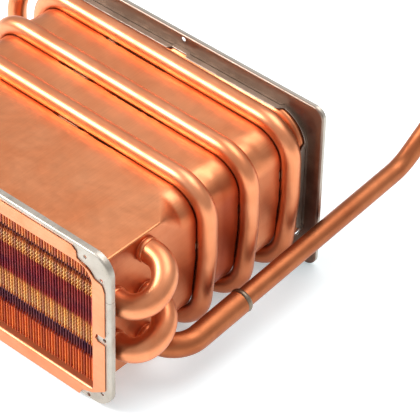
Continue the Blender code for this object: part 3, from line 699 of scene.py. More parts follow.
frame_steel = steel_finish("steel_frame", (0.54, 0.49, 0.43, 1), (0.42, 0.37, 0.31, 1), 0.44)
collar_steel = steel_finish("steel_collar", (0.30, 0.24, 0.20, 1), (0.22, 0.17, 0.135, 1), 0.45)
flange_steel = steel_finish(
    "steel_flange_browned", (0.22, 0.135, 0.10, 1), (0.135, 0.07, 0.05, 1), 0.40, highlight_from=217.4
)
solder_grey = steel_finish("silver_solder", (0.34, 0.27, 0.20, 1), (0.16, 0.11, 0.075, 1), 0.38)
nut_brass = steel_finish(
    "brass_turned", (0.80, 0.56, 0.25, 1), (0.66, 0.43, 0.17, 1), 0.25, squeeze=(8.0, 60.0, 8.0)
)
seal_fibre = steel_finish("fibre_seal", (0.045, 0.055, 0.05, 1), (0.02, 0.025, 0.022, 1), 0.8, metallic=0.0)
print(len(bpy.data.materials), "materials")


# %% [markdown]
# ## The coil's line
# One tube is wound three times round the duct. On the top and the sides it lies in a groove, and each
# turn wanders a few millimetres along the duct on its way down. The same wander is used for the tube
# and for the groove, so that they always fit.

# %% Coil line
DRIFT_HEIGHTS = (COIL_UNDERSIDE, COIL_LOW, 0.0, COIL_TOP - COIL_CORNER, COIL_TOP)
DRIFT_RIGHT = (-5.0, -3.0, 1.2, 0.4, -1.6)
DRIFT_LEFT = (5.0, 3.4, 2.0, 1.8, 1.7)
COIL_ACROSS = SHELL_HALF_WIDTH + COIL_STANDOFF - COIL_CORNER


def coil_drift(x, z):
    """How far the coil's line wanders along Y at (x, z): read from the height on the two sides, and
    straight across the top."""
    over = np.interp(x, (-COIL_ACROSS, COIL_ACROSS), (DRIFT_LEFT[-1], DRIFT_RIGHT[-1]))
    right = np.interp(z, DRIFT_HEIGHTS, DRIFT_RIGHT)
    left = np.interp(z, DRIFT_HEIGHTS, DRIFT_LEFT)
    return np.where(z > COIL_TOP - 1.0, over, np.where(x > 0, right, left))


def coil_turn(centre):
    """Up the -X side, over the top, down the +X side. Its corners are quarter circles."""
    half = SHELL_HALF_WIDTH + COIL_STANDOFF
    side = COIL_TOP - COIL_CORNER
    rise = np.linspace(COIL_LOW, side, 20)
    arc = np.radians(np.linspace(90, 0, 24))
    over = np.linspace(0, COIL_ACROSS, 15)
    right_x = np.concatenate([over, COIL_ACROSS + COIL_CORNER * np.cos(arc), np.full(20, half)])
    right_z = np.concatenate([np.full(15, COIL_TOP), side + COIL_CORNER * np.sin(arc), rise[::-1]])
    x = np.concatenate([-right_x[::-1], right_x])
    z = np.concatenate([right_z[::-1], right_z])
    return np.stack([x, centre + coil_drift(x, z), z], -1)


def under_the_duct(start, end):
    """From low on the +X side, flat below the duct, to low on the -X side one turn further on."""
    right = (start[0], start[1] - 2.0, COIL_UNDERSIDE)
    left = (end[0], end[1] + 2.0, COIL_UNDERSIDE)
    return rounded_line([(start, 0), (right, COIL_CORNER), (left, COIL_CORNER), (end, 0)])


def coil_line():
    """Inlet joint, a U-turn just above the floor, three turns, and on to the riser's foot."""
    turns = [coil_turn(centre) for centre in COIL_TURNS[::-1]]
    first = turns[0][0]
    reach = (first[0] - INLET_X) / 2
    turn_z = BURNER[1] + COIL_RADIUS + reach + 0.3
    angle = np.linspace(0, np.pi, 28)[:, None]
    from_joint = np.array([INLET_X, INLET_JOINT[1], turn_z])
    to_coil = np.array([first[0], first[1], turn_z])
    middle = (from_joint + to_coil) / 2
    bottom = middle + (from_joint - to_coil) / 2 * np.cos(angle) - np.array([0, 0, reach]) * np.sin(angle)
    foot = np.array([RISER_FOOT[0], RISER_FOOT[1], -30.0])
    parts = [np.array([INLET_JOINT]), bottom, turns[0]]
    parts += [under_the_duct(turns[0][-1], turns[1][0]), turns[1]]
    parts += [under_the_duct(turns[1][-1], turns[2][0]), turns[2]]
    parts += [under_the_duct(turns[2][-1], foot), np.array([RISER_FOOT])]
    return np.concatenate(parts)


coil_centre = even_line(coil_line(), 1.8, softness=3.0)
print(f"coil: {length_along(coil_centre)[-1] * MM:.2f} m of tube")

# %% [markdown]
# ## The duct
# The duct is one bent sheet. It starts square where the fins stand, turns round at the corners, is
# pressed in where the coil lies, and flares at the burner end. All of that is one grid: columns run
# round the outline and rows run along Y. Its bottom drops a little towards the mouth. A groove is a
# circle a little larger than the tube, sunk into the sheet, with its shoulders softened. Small puckers
# at the corners and long shallow waves stand for what bending does to soft sheet.

# %% Duct surface
GROOVE_RADIUS = COIL_RADIUS + 0.15
GROOVE_REACH = 16.0
SHOULDER = 0.25
CREASE_PLACE = 12.2
CREASE_DEPTH = 0.04
BEAD_HEIGHT = 0.3
PUCKER_DEPTH = 0.75
WAVE_DEPTH = 0.07
FADE_HEIGHT = 9.0
BOX_CORNER = 1.5
FLARE_START = 206.6
FLARE_END = 212.5
FLARE_GAP = 1.4
MOUTH_DROP = 3.4
ROWS_BEFORE = 11.0
ROWS_AFTER = 14.0
BURN_PLACES = (0.0, 66.0, 95.0, 104.0, 118.0, 140.0, 160.0, 190.0, 217.0)
BURN_SHARES = (0.34, 0.34, 0.45, 0.90, 0.95, 0.90, 0.34, 0.30, 0.5)
TOP_BEADS = (
    (-1.5, 16.5, 0, 1.0), (35.0, 22.0, 0, 0.6), (-38.5, 19.5, 1, 0.95), (18.0, 34.0, 1, 0.62),
    (-45.5, 7.5, 2, 1.0), (-12.0, 26.0, 2, 0.58),
)
SIDE_BEADS = (
    (10.0, 5.0, 0, 1.0), (-10.0, 26.0, 0, 0.6), (-41.0, 6.0, 0, 0.9), (16.5, 5.5, 1, 0.9),
    (-12.0, 24.0, 1, 0.6), (20.0, 6.0, 2, 0.9), (-8.0, 20.0, 2, 0.6),
)


def duct_rows():
    """Row places along Y: every 0.4 mm near a turn, and further apart elsewhere."""
    plain = np.concatenate([np.linspace(1.5, FIN_BOX_DEPTH, 16), np.linspace(FIN_BOX_DEPTH, 96.5, 16)])
    near = [np.linspace(centre - ROWS_BEFORE, centre + ROWS_AFTER, 61) for centre in COIL_TURNS]
    pairs = zip(COIL_TURNS, COIL_TURNS[1:])
    gaps = [np.linspace(before + ROWS_AFTER, after - ROWS_BEFORE, 10) for before, after in pairs]
    rows = np.unique(np.concatenate([plain, *near, *gaps, [214.0, 215.5, SHELL_END]]).round(3))
    return rows[rows <= SHELL_END]


def duct_surface(y, inset):
    """Points and finish values for rows at y. The outline's corner grows from square to round between
    the fin box and the body, and the last stretch is scaled up into the collar."""
    round_share = np.clip((y - FIN_BOX_DEPTH) / (BODY_START - FIN_BOX_DEPTH), 0, 1)
    flare = eased(y, FLARE_START, FLARE_END)
    half_width = SHELL_HALF_WIDTH + (COLLAR[0] - FLARE_GAP - SHELL_HALF_WIDTH) * flare
    half_height = SHELL_HALF_HEIGHT + (COLLAR[2] - FLARE_GAP - SHELL_HALF_HEIGHT) * flare
    corner = BOX_CORNER + (BODY_CORNER - BOX_CORNER) * round_share + (COLLAR[3] - BODY_CORNER) * flare
    corner = np.maximum(corner - inset, 0.5)
    low = -half_height - MOUTH_DROP * eased(-y, -20.0, -6.0)
    flat, facing = outline(half_width - inset, low + inset, half_height - inset, corner)
    x = flat[..., 0]
    z = flat[..., 1]
    slope = np.interp(y, (FIN_BOX_DEPTH, BODY_START, 101.4, FLARE_START, FLARE_END), (0, 0.5, 1, 1, 0))
    fade = np.clip((z + SHELL_HALF_HEIGHT) / FADE_HEIGHT, 0, 1)
    drift = coil_drift(x, np.where(z > 0, z + COIL_STANDOFF, z)) * fade
    away = y[:, None] - COIL_TURNS
    nearest = away[np.arange(len(y)), np.abs(away).argmin(1)][:, None]
    dip = np.sqrt(np.maximum(GROOVE_RADIUS**2 - nearest**2, 0)) - COIL_STANDOFF
    sink = 0.5 * (dip + np.sqrt(dip**2 + SHOULDER)) * (np.abs(nearest) < GROOVE_REACH) * fade
    sink = sink + CREASE_DEPTH * np.exp(-(((nearest - CREASE_PLACE) / 0.7) ** 2)) * fade
    solder = solder_mask(x, z, away)
    sink = sink - BEAD_HEIGHT * solder
    corner_share = np.abs(facing[:, 0] * facing[:, 1])[None] * 2
    angle = np.arctan2(facing[:, 1], facing[:, 0])[None]
    between = np.exp(-(((nearest - 17.0) / 7.0) ** 2)) * (y[:, None] < 192) * (y[:, None] > 70)
    sink = sink + PUCKER_DEPTH * between * corner_share * np.cos(5 * angle + 0.1 * y[:, None])
    body = np.clip((y[:, None] - 8) / 20, 0, 1) * np.clip((SHELL_END - y[:, None]) / 12, 0, 1)
    waves = np.sin(x / 13.1 + y[:, None] / 9.7) + np.sin(x / 21.7 - y[:, None] / 15.1 + z / 17.0)
    sink = sink + WAVE_DEPTH * waves * body
    flat = flat - facing * sink[..., None]
    points = with_depth(flat, y[:, None] + slope[:, None] * drift)
    beside = np.abs(nearest)
    # painted reflection of the tube: a glow beside each turn, wider on the side towards the fins
    heat = np.exp(-(((beside - 7.0) / np.where(nearest < 0, 6.0, 2.5)) ** 2)) * fade
    sideways = eased(np.abs(facing[:, 0]), 0.5, 1.0)[None]
    burn = sideways * np.interp(y, BURN_PLACES, BURN_SHARES)[:, None]
    burn = burn * (1 - 0.2 * np.exp(-(((nearest - 15.0) / 6.0) ** 2)))
    # painted contact shade: a dark line at the tube's edge and one more along its back silhouette
    crease_shade = 0.55 * np.exp(-(((nearest - CREASE_PLACE) / 0.3) ** 2))
    contact_shade = (0.75 * np.exp(-(((beside - 6.8) / 0.38) ** 2)) + crease_shade) * fade
    return points, {"heat": heat, "burn": burn, "contact_shade": contact_shade, "solder": solder}


def solder_mask(x, z, away):
    """How much solder and flux shows in front of a turn. Each bead is a middle, a half length, a turn
    and a strength; along it the value is a flat-topped bell, strength * exp(-(distance / half)^4)."""
    mask = np.zeros(np.broadcast(x, away[:, :1]).shape)
    for beads, place, here in ((TOP_BEADS, x, z > 40), (SIDE_BEADS, z, x > 110)):
        for middle, half, turn, strength in beads:
            across = (away[:, turn : turn + 1] + 7.5) / 0.9
            bead = strength * np.exp(-(((place - middle) / half) ** 4) - across**2) * here
            mask = np.maximum(mask, bead)
    return mask


def make_duct():
    y = duct_rows()
    outer, finish = duct_surface(y, 0.0)
    inner, _ = duct_surface(y, SHELL_WALL)
    values = {label: np.concatenate([value, value[::-1] * 0]) for label, value in finish.items()}
    # painted light: the inside of the sheet near the mouth gets the same orange glow
    values["heat"][len(y) :] = eased(-y, -50.0, -30.0)[::-1, None]
    mesh = closed_grid("duct", np.concatenate([outer, inner[::-1]]), values=values)
    add_piece("duct_sheet", mesh, sheet_copper, ["shell"])


make_duct()


# %% [markdown]
# ## The flue flange
# At the flue end the sheet is turned out flat against the steel frame, cut back in steps at the screws
# and notched for a steel tongue. Inner and outer edge are both seen from the middle at the same angle,
# so a column of the grid runs straight from the mouth to the rim. At the mouth the sheet rolls inwards.

# %% Flange sheet
FLANGE_RIGHT = [
    (0.0, 65.3), (101.0, 65.3), (104.8, 62.6), (105.5, 57.0), (110.6, 54.6), (116.5, 52.6),
    (121.7, 47.8), (128.8, 45.8), (131.0, 40.0), (131.0, -0.8), (123.4, -1.0), (122.2, -5.0),
    (125.0, -7.9), (131.0, -8.4), (131.0, -51.5), (119.3, -59.5), (108.8, -63.5), (106.2, -69.0),
    (0.0, -69.0),
]
MOUTH_TOP = 53.7
MOUTH_BOTTOM = -57.3
FLANGE_SHEET = 0.8
MOUTH_CORNERS = (13.0, 3.0)
MOUTH_DEPTH = 14.0
FLANGE_MIDDLE = -3.0
ROLL_RADIUS = 0.85
ROLL_GROWTH = 1.75


def walked(corners, step):
    """Points along a chain of straight edges, about one step apart, with every corner kept."""
    parts = []
    for start, end in zip(corners, corners[1:]):
        start = np.array(start)
        end = np.array(end)
        count = max(int(np.linalg.norm(end - start) / step), 1)
        parts.append(start + (end - start) * np.linspace(0, 1, count, endpoint=False)[:, None])
    return np.concatenate(parts)


def seen_at(angle, ring, values):
    """Values given at the points of a ring, read at other angles round the flange's middle."""
    own = np.arctan2(ring[:, 1] - FLANGE_MIDDLE, ring[:, 0])
    return np.stack([np.interp(angle, own, values[:, k], period=2 * np.pi) for k in range(2)], -1)


def make_flange():
    """Rows run from the roll at the mouth over the face to the rim, round it, and back behind. The
    roll at the mouth is wider along the bottom."""
    rim = walked(FLANGE_RIGHT, 1.6)
    rim = np.concatenate([rim, (rim * (-1, 1))[::-1]])
    angle = np.arctan2(rim[:, 1] - FLANGE_MIDDLE, rim[:, 0])
    size = (SHELL_HALF_WIDTH - SHELL_WALL - 0.6, MOUTH_BOTTOM, MOUTH_TOP)
    (upper, facing), (lower, _) = (outline(*size, corner, 60, 120) for corner in MOUTH_CORNERS)
    ring = np.where(upper[:, 1:] > 0, upper, lower)
    mouth = seen_at(angle, ring, ring)
    outwards = seen_at(angle, ring, facing)
    roll = ROLL_RADIUS + ROLL_GROWTH * np.clip(-outwards[:, 1:], 0, 1) ** 2
    edge = mouth + outwards * roll
    rows = []
    for turn in np.radians(np.linspace(90, 0, 8)):
        flat = mouth + outwards * roll * (1 - math.sin(turn))
        rows.append(with_depth(flat, FLANGE_FACE + roll[:, 0] * (1 - math.cos(turn))))
    rows.insert(0, rows[0] + (0, MOUTH_DEPTH, 0))
    for share, y in ((0.5, 0.0), (0.985, 0.0), (1.0, 0.12), (1.0, 0.68), (0.985, 0.8), (0.5, 0.8)):
        rows.append(with_depth(edge + (rim - edge) * share, FLANGE_FACE + y))
    for turn in np.radians(np.linspace(0, 90, 8)):
        flat = mouth + outwards * (roll - (roll - FLANGE_SHEET) * math.sin(turn))
        depth = FLANGE_FACE + roll[:, 0] - (roll[:, 0] - FLANGE_SHEET) * math.cos(turn)
        rows.append(with_depth(flat, depth))
    rows.append(rows[-1] + (0, MOUTH_DEPTH - FLANGE_SHEET, 0))
    points = np.stack(rows)
    # painted reflected light: the inner value marks the roll and the strip inside the mouth
    inner = np.repeat(eased(points[:, :1, 1], FLANGE_FACE + 0.4, FLANGE_FACE + 1.8), len(rim), 1)
    mesh = closed_grid("flange", points, values={"inner": inner})
    add_piece("flue_flange_sheet", mesh, flange_copper, ["shell"], sharp=30)


make_flange()

# %% [markdown]
# ## The steel frame
# The frame is pressed from sheet: a flat face and a skirt turned back all round, joined by a small
# bend. Its section is a closed loop of points, and every point of the loop becomes a whole rounded
# rectangle. Screw holes, the slot by the tongue and the seam between its halves are then cut out with
# exact Booleans, which are applied at once so that the piece is a plain mesh.

# %% Steel frame
FRAME_DEPTH = 5.5
FRAME_WALL = 1.2
FRAME_FACE_WIDTH = 13.7
FRAME_LOW_WIDTH = 10.0
FRAME_BEND = 1.8
FRAME_SPLIT_Z = 32.0
FRAME_SEAM = 0.3
FRAME_SLOT = (122.3, -3.6)
FRAME_HOLE_CORNER = 11.0
ROD_REACH = 8.0
FRAME_SCREWS = [(112.5, 61.5), (127.4, 48.9), (130.2, -4.0), (127.6, -56.3), (114.5, -65.4)]


def cutting_rod(x, z, y, radius, stretch=1.0):
    """A round or oval rod along Y, used only to cut a hole, as (points, quads) of a closed grid."""
    angle = np.linspace(0, 2 * np.pi, 24, endpoint=False)
    spoke = radius * np.stack([np.cos(angle), stretch * np.sin(angle)], -1)
    ends = ((0.0, -ROD_REACH), (1.0, -ROD_REACH), (1.0, ROD_REACH), (0.0, ROD_REACH))
    rows = [with_depth((x, z) + size * spoke, y + depth) for size, depth in ends]
    return np.stack(rows).reshape(-1, 3), grid_quads(4, 24, False, True)


def cutting_box(low, high):
    """A closed box between two corners: its section in X and Z carried along Y."""
    x0, y0, z0 = low
    x1, y1, z1 = high
    flat = np.array([(x0, z0), (x1, z0), (x1, z1), (x0, z1)], float)
    middle = np.repeat(flat.mean(0, keepdims=True), 4, 0)
    rows = [with_depth(middle, y0), with_depth(flat, y0), with_depth(flat, y1), with_depth(middle, y1)]
    return np.stack(rows).reshape(-1, 3), grid_quads(4, 4, False, True)


def cut(mesh, cutters, operation="DIFFERENCE"):
    """Takes every cutter away from the mesh and returns the result as a new mesh."""
    body = in_scene("being_cut", mesh)
    tools = []
    for number, (points, quads) in enumerate(cutters):
        tool = in_scene(f"cutter_{number}", mesh_from(f"cutter_{number}", points, quads))
        tool.modifiers.new("weld", "WELD").merge_threshold = 0.000001
        boolean = body.modifiers.new(f"cut_{number}", "BOOLEAN")
        boolean.operation = operation
        boolean.solver = "EXACT"
        boolean.object = tool
        tools.append(tool)
    graph = bpy.context.evaluated_depsgraph_get()
    result = bpy.data.meshes.new_from_object(body.evaluated_get(graph))
    for obj in [body, *tools]:
        bpy.data.objects.remove(obj)
    return result


def make_frame():
    wall = FRAME_WALL
    wide = FRAME_FACE_WIDTH
    depth = FRAME_DEPTH
    bend = (FRAME_BEND, FRAME_BEND)
    section = [(wide, 0.25), (wide - 0.25, 0.0), (9.0, 0.0), (5.0, 0.0)]
    section += quarter(bend, FRAME_BEND, 270, 180, 7)
    section += [(0.0, depth - 0.3), (0.3, depth), (wall - 0.3, depth), (wall, depth - 0.3)]
    section += quarter(bend, FRAME_BEND - wall, 180, 270, 5)
    section += [(9.0, wall), (wide, wall)]
    holes = []
    for x, z in FRAME_SCREWS:
        holes += [cutting_rod(side * x, z, 0.0, 1.6) for side in (-1, 1)]
    half_width, low_side, high_side, _ = FRAME
    hole = (half_width - wide, low_side + FRAME_LOW_WIDTH, high_side - wide, FRAME_HOLE_CORNER)
    slot_x, slot_z = FRAME_SLOT
    slots = [cutting_rod(side * slot_x, slot_z, 0.0, 1.5, stretch=2.4) for side in (-1, 1)]
    seam_low, seam_high = FRAME_SPLIT_Z - FRAME_SEAM / 2, FRAME_SPLIT_Z + FRAME_SEAM / 2
    for half, low, high, extra in (("upper", seam_high, 90.0, []), ("lower", -90.0, seam_low, slots)):
        whole = pressed_ring("frame", FRAME, section, hole)
        drilled = cut(whole, holes + extra)
        kept = cut(drilled, [cutting_box((-150, -9, low), (150, 14, high))], "INTERSECT")
        name = f"frame_{half}"
        add_piece(f"steel_{name}", kept, frame_steel, [name], sharp=32)


make_frame()


# %% [markdown]
# ## The burner collar and flange
# The collar is a band round the duct's burner end. Its front edge is cut back at the four corners and
# has a notch on top, so the height of that edge is a function of the place along the outline. The
# flange is pressed sheet again, with a lip turned back and screw holes. Its hole follows the collar.

# %% Collar and flange
COLLAR_FRONT = 208.1
COLLAR_BACK = 218.6
COLLAR_WALL = 0.9
COLLAR_CORNER_CUT = 5.0
COLLAR_NOTCH = 3.4
BURNER_WALL = 1.0
BURNER_LIP = 4.0
BURNER_BEND = 1.6
BURNER_FACE_WIDTH = 11.7
BURNER_SCREWS = ((5.0, -69.5), (5.0, 69.5))


def make_collar():
    half_width, low, high, radius = COLLAR
    outer, facing = outline(half_width, low, high, radius, 60, 160)
    from_side = np.abs(outer[:, 0]) - (half_width - radius)
    from_top = np.abs(outer[:, 1]) - (high - radius)
    corner = eased(from_side, 1.0, 6.0) * eased(from_top, 1.0, 6.0)
    notch = eased(outer[:, 0], -3.6, -2.2) * eased(-outer[:, 0], -14.0, -12.6) * (outer[:, 1] > 40)
    front = COLLAR_FRONT + COLLAR_CORNER_CUT * corner + COLLAR_NOTCH * notch
    rows = []
    for inset, share, y in (
        (0.3, 0, 0.0), (0.0, 0, 0.3), (0.0, 0, 4.9), (0.65, 0, 5.0), (0.65, 0, 5.5), (0.0, 0, 5.6),
        (0.0, 1, 0.0), (COLLAR_WALL, 1, 0.0), (COLLAR_WALL, 0, 0.3), (0.7, 0, 0.0),
    ):
        depth = COLLAR_BACK if share else np.minimum(front + y, COLLAR_BACK - 0.5)
        rows.append(with_depth(outer - facing * inset, depth))
    mesh = closed_grid("collar", np.stack(rows))
    add_piece("burner_collar_band", mesh, collar_steel, ["burner_collar"], sharp=30)


def make_burner_flange():
    wall = BURNER_WALL
    wide = BURNER_FACE_WIDTH
    front = BURNER_FACE - wall
    back = front + BURNER_LIP
    bend = (BURNER_BEND, front + BURNER_BEND)
    section = [(wide, front), (8.0, front), (5.0, front)]
    section += quarter(bend, BURNER_BEND, 270, 180, 7)
    section += [(0.0, back - 0.2), (0.25, back), (wall - 0.2, back)]
    section += quarter(bend, BURNER_BEND - wall, 180, 270, 5)
    section += [(8.0, front + wall), (wide, front + wall)]
    half_width, low, high, radius = COLLAR
    hole = (half_width + 0.1, low - 0.1, high + 0.1, radius + 0.1)
    whole = pressed_ring("burner_flange", BURNER, section, hole, 40, 40)
    drilled = cut(whole, [cutting_rod(x, z, BURNER_FACE, 2.0) for x, z in BURNER_SCREWS])
    add_piece("burner_flange_plate", drilled, flange_steel, ["burner_flange"], sharp=32)


make_collar()
make_burner_flange()


# %% [markdown]
# ## The fins
# The CAD model has a few thick bundles of the same mass. Here each fin is its own thin sheet. In front
# of a tube its front edge is pressed into a fine zig-zag, which stirs the gas, and between the tubes it
# has openings, where the edge stands further back. A fin is a grid down its height and along its depth,
# once for each side, closed round its edge, and all fins are copies moved along X.

# %% Fins
FIN_COUNT = 91
FIN_SHEET = 0.34
FIN_FRONT = 0.8
FIN_BACK = 66.0
FIN_REACH = 117.2
ZIGZAG_BANDS = ((27.5, 38.5), (-17.0, 1.8))
OPENING_BANDS = ((39.2, 43.6), (-29.4, -18.0))
ZIGZAG_PITCH = 3.2
ZIGZAG_SIZE = 0.95
OPENING_DEPTH = 1.2
BAND_EDGE = 0.4


def band_mask(z, bands):
    """1 inside any of the bands and 0 outside, with steep but finite edges."""
    soft = BAND_EDGE
    inside = [np.clip((z - low) / soft, 0, 1) * np.clip((high - z) / soft, 0, 1) for low, high in bands]
    return np.clip(sum(inside), 0, 1)


def make_fins():
    plain = np.array([FIN_LOW, -46.0, -40.0, -34.0, 6.0, 12.0, 18.0, 24.0, 48.0, 53.4])
    bands = [np.arange(low, high, ZIGZAG_PITCH / 2) for low, high in ZIGZAG_BANDS]
    steps = [np.array([low, low + BAND_EDGE, high - BAND_EDGE, high]) for low, high in OPENING_BANDS]
    z = np.unique(np.concatenate([plain, *bands, *steps]).round(3))
    depth = np.array([0.0, 0.7, 3.0, 6.0, FIN_BACK - FIN_FRONT])
    phase = z / ZIGZAG_PITCH
    wave = (2 * np.abs(2 * (phase - np.floor(phase + 0.5))) - 1) * band_mask(z, ZIGZAG_BANDS)
    front = FIN_FRONT + OPENING_DEPTH * band_mask(z, OPENING_BANDS)
    across = ZIGZAG_SIZE * wave[:, None] * np.array([1.0, 1.0, 0.7, 0.0, 0.0])
    y = np.maximum(FIN_FRONT + depth[None], front[:, None] + depth[None] * 0.02)
    sheet = np.stack([across, y, np.broadcast_to(z[:, None], y.shape)], -1)
    half_sheet = np.zeros((len(depth), 3))
    half_sheet[:, 0] = (0.30, 0.26, FIN_SHEET / 2, FIN_SHEET / 2, FIN_SHEET / 2)
    right = sheet + half_sheet
    left = (sheet - half_sheet)[:, ::-1]
    loop = np.concatenate([right, left], 1)
    rows, columns = loop.shape[:2]
    sides = grid_quads(rows, columns, False, True)
    half = columns // 2
    k = np.arange(half - 1)
    top = np.stack([k, k + 1, columns - 2 - k, columns - 1 - k], -1)
    ends = np.concatenate([top[:, ::-1], top + (rows - 1) * columns])
    faces = np.concatenate([sides, ends])
    shift = np.zeros((FIN_COUNT, 1, 1, 3))
    shift[:, 0, 0, 0] = np.linspace(-FIN_REACH, FIN_REACH, FIN_COUNT)
    points = (loop[None] + shift).reshape(-1, 3)
    offsets = np.arange(FIN_COUNT)[:, None, None] * rows * columns
    quads = (faces[None] + offsets).reshape(-1, 4)
    tint = (np.arange(FIN_COUNT) * 7 % 5) / 5.0
    mesh = mesh_from("fins", points, quads, values={"tint": np.repeat(tint, rows * columns)})
    add_piece("fin_sheets", mesh, fin_copper, ["fin_pack"], sharp=20)


make_fins()


# %% [markdown]
# ## Tubes through the fins, and the bends that join them
# Each tube ends in a bell outside the duct's wall, and a bend sits in the bell. Inside the pack every
# fin has a small collar that grips the tube, so the tube's radius is a saw-tooth along its length. The
# bends are fat half circles. Bent copper bulges a little and is slightly dented on the inside.

# %% Fin tubes and bends
FIN_PITCH = 2 * FIN_REACH / (FIN_COUNT - 1)
SOCKET_END = 4.2
SOCKET_BOTTOM = 1.8
BEND_START = 7.9
FIN_COLLAR_GAP = 0.1
FIN_COLLAR_HEIGHT = 1.0


def make_fin_tube(number, y, z):
    wall = SHELL_HALF_WIDTH
    x = np.linspace(-FIN_REACH, FIN_REACH, (FIN_COUNT - 1) * 3 + 1)
    saw = 1.0 - ((x + FIN_REACH) / FIN_PITCH) % 1.0
    inside = np.stack([FIN_TUBE_RADIUS + FIN_COLLAR_GAP + FIN_COLLAR_HEIGHT * saw, x], -1)[::-1]
    bell = [(SOCKET_RADIUS - 0.25, wall + SOCKET_END), (SOCKET_RADIUS, wall + SOCKET_END - 0.3)]
    bell += [(SOCKET_RADIUS, wall + 1.6), (SOCKET_RADIUS - 0.3, wall + 0.9), (FIN_TUBE_RADIUS, wall + 0.3)]
    throat = [(SOCKET_RADIUS - TUBE_WALL, wall + SOCKET_END), (SOCKET_RADIUS - TUBE_WALL, wall + 1.4)]
    throat += [(FIN_TUBE_RADIUS - TUBE_WALL, wall)]
    profile = bell + [tuple(p) for p in inside] + [(r, -a) for r, a in bell[::-1]]
    profile += [(r, -a) for r, a in throat] + throat[::-1]
    mesh = turned_mesh(f"fin_tube_{number}", profile, (0, y, z), (1, 0, 0), sides=40)
    add_piece(f"fin_tube_{number}_finished", mesh, bend_copper, [f"fin_tube_{number}"], sharp=50)


def make_bend(name, side, first, second):
    """Straight out of the first bell, half a circle, and straight into the second."""
    x = side * (SHELL_HALF_WIDTH + SOCKET_BOTTOM)
    start = np.array([x, *TUBES[first]])
    end = np.array([x, *TUBES[second]])
    spoke = (start - end) / 2
    radius = np.linalg.norm(spoke)
    reach = np.array([side * (BEND_START - SOCKET_BOTTOM), 0, 0])
    angle = np.linspace(0, np.pi, 60)[:, None]
    out = np.array([side, 0.0, 0.0])
    circle = (start + end) / 2 + reach + spoke * np.cos(angle) + out * radius * np.sin(angle)
    line = even_line(np.concatenate([start[None], circle, end[None]]), 1.0, softness=1.5)
    upright = np.cross(out, spoke / radius)
    share = np.linspace(0, 1, len(line))
    bulge = 0.12 * np.sin(np.pi * share) * np.cos(6 * np.pi * share)
    mesh = tube_mesh(name, line, BEND_RADIUS + bulge, upright, sides=48)
    add_piece(f"{name}_finished", mesh, bend_copper, [name], sharp=60)


for tube_number, (tube_y, tube_z) in enumerate(TUBES, start=1):
    make_fin_tube(tube_number, tube_y, tube_z)
make_bend("return_bend_right_upper", 1, 0, 3)
make_bend("return_bend_right_lower", 1, 1, 4)
make_bend("return_bend_left_upper", -1, 3, 1)
make_bend("return_bend_left_lower", -1, 4, 2)


# %% [markdown]
# ## The coil and the pipes
# The coil's line is already there, so the coil is one long tube round it. The riser takes the water
# from the coil into the first fin tube, and two pipes go off to the unions.

# %% Coil, riser, inlet and outlet
def make_coil():
    ripple = 0.05 * np.sin(np.arange(len(coil_centre)) / 9.0)
    mesh = tube_mesh("coil", coil_centre, COIL_RADIUS + ripple, (0, 1, 0), sides=32, wall=1.0)
    add_piece("wrap_coil_tube", mesh, tube_copper, ["wrap_coil"], sharp=60)


def make_riser():
    y, z = TUBES[0]
    foot = np.array(RISER_FOOT)
    socket = (-SHELL_HALF_WIDTH - SOCKET_BOTTOM, y, z)
    rise = (foot[0], foot[1], 20.0)
    corners = [(foot + (0, 0, 1.0), 0), (rise, 20.0), ((RISER_REACH, y, z), 14.0), (socket, 0)]
    line = even_line(rounded_line(corners), 1.2, softness=1.5)
    left = np.linalg.norm(line - line[-1], axis=1)
    radius = PIPE_RADIUS + (BEND_RADIUS - PIPE_RADIUS) * eased(-left, -8.0, -4.5)
    mesh = tube_mesh("riser", line, radius, (0, 1, 0), sides=40)
    add_piece("coil_riser_tube", mesh, bend_copper, ["coil_riser"], sharp=60)


def make_pipe(name, corners, upright, replaced, finish, radius=PIPE_RADIUS, soft=2.0):
    line = even_line(rounded_line(corners), 1.8, softness=soft)
    mesh = tube_mesh(name, line, radius, upright, sides=44)
    add_piece(name, mesh, finish, [replaced], sharp=60)


make_coil()
make_riser()
inlet_foot = np.array(INLET_JOINT) + (0, 0, 1.0)
make_pipe(
    "inlet_pipe_tube",
    [(inlet_foot, 0), ((INLET_X, INLET_JOINT[1], PORT_Z), INLET_BEND), ((INLET_X, PORT_END, PORT_Z), 0)],
    (1, 0, 0),
    "inlet_pipe",
    tube_copper,
)
outlet_y, outlet_z = TUBES[2]
elbow_corner = ELBOW_END - OUTLET_RUN * ((ELBOW_END[1] - outlet_y) / OUTLET_RUN[1])
elbow_corner[2] = outlet_z
elbow_start = (SHELL_HALF_WIDTH + SOCKET_BOTTOM, outlet_y, outlet_z)
make_pipe(
    "outlet_elbow_tube",
    [(elbow_start, 0), (elbow_corner, ELBOW_BEND), (ELBOW_END, 0)],
    (0, 0, 1),
    "outlet_elbow",
    pipe_copper,
    BEND_RADIUS,
    1.2,
)
make_pipe(
    "outlet_pipe_tube",
    [
        (ELBOW_END - OUTLET_RUN * 10.0, 0),
        (OUTLET_KINK, KINK_BEND),
        (OUTLET_RISE, RISE_BEND),
        ((OUTLET_X, PORT_END, PORT_Z), 0),
    ],
    (0, 0, 1),
    "outlet_pipe",
    pipe_copper,
)

# %% [markdown]
# ## Sleeves, the braze ring and the unions
# Turned pieces are a closed section carried round an axis. The nut is turned too, except that its
# outside is a hexagon: at an angle a from the middle of a flat, the distance to the flat is
# half the width across flats / cos a, and the two chamfers limit that distance near the ends.

# %% Turned pieces
SLEEVE_LENGTH = 16.0


def rounded_sleeve(outer, inner, length, edge=0.35):
    """A sleeve's section with its outer edges rounded."""
    return [
        (outer - edge, 0.0), (outer - 0.1 * edge, 0.3 * edge), (outer, edge), (outer, length - edge),
        (outer - 0.1 * edge, length - 0.3 * edge), (outer - edge, length), (inner, length), (inner, 0.0),
    ]


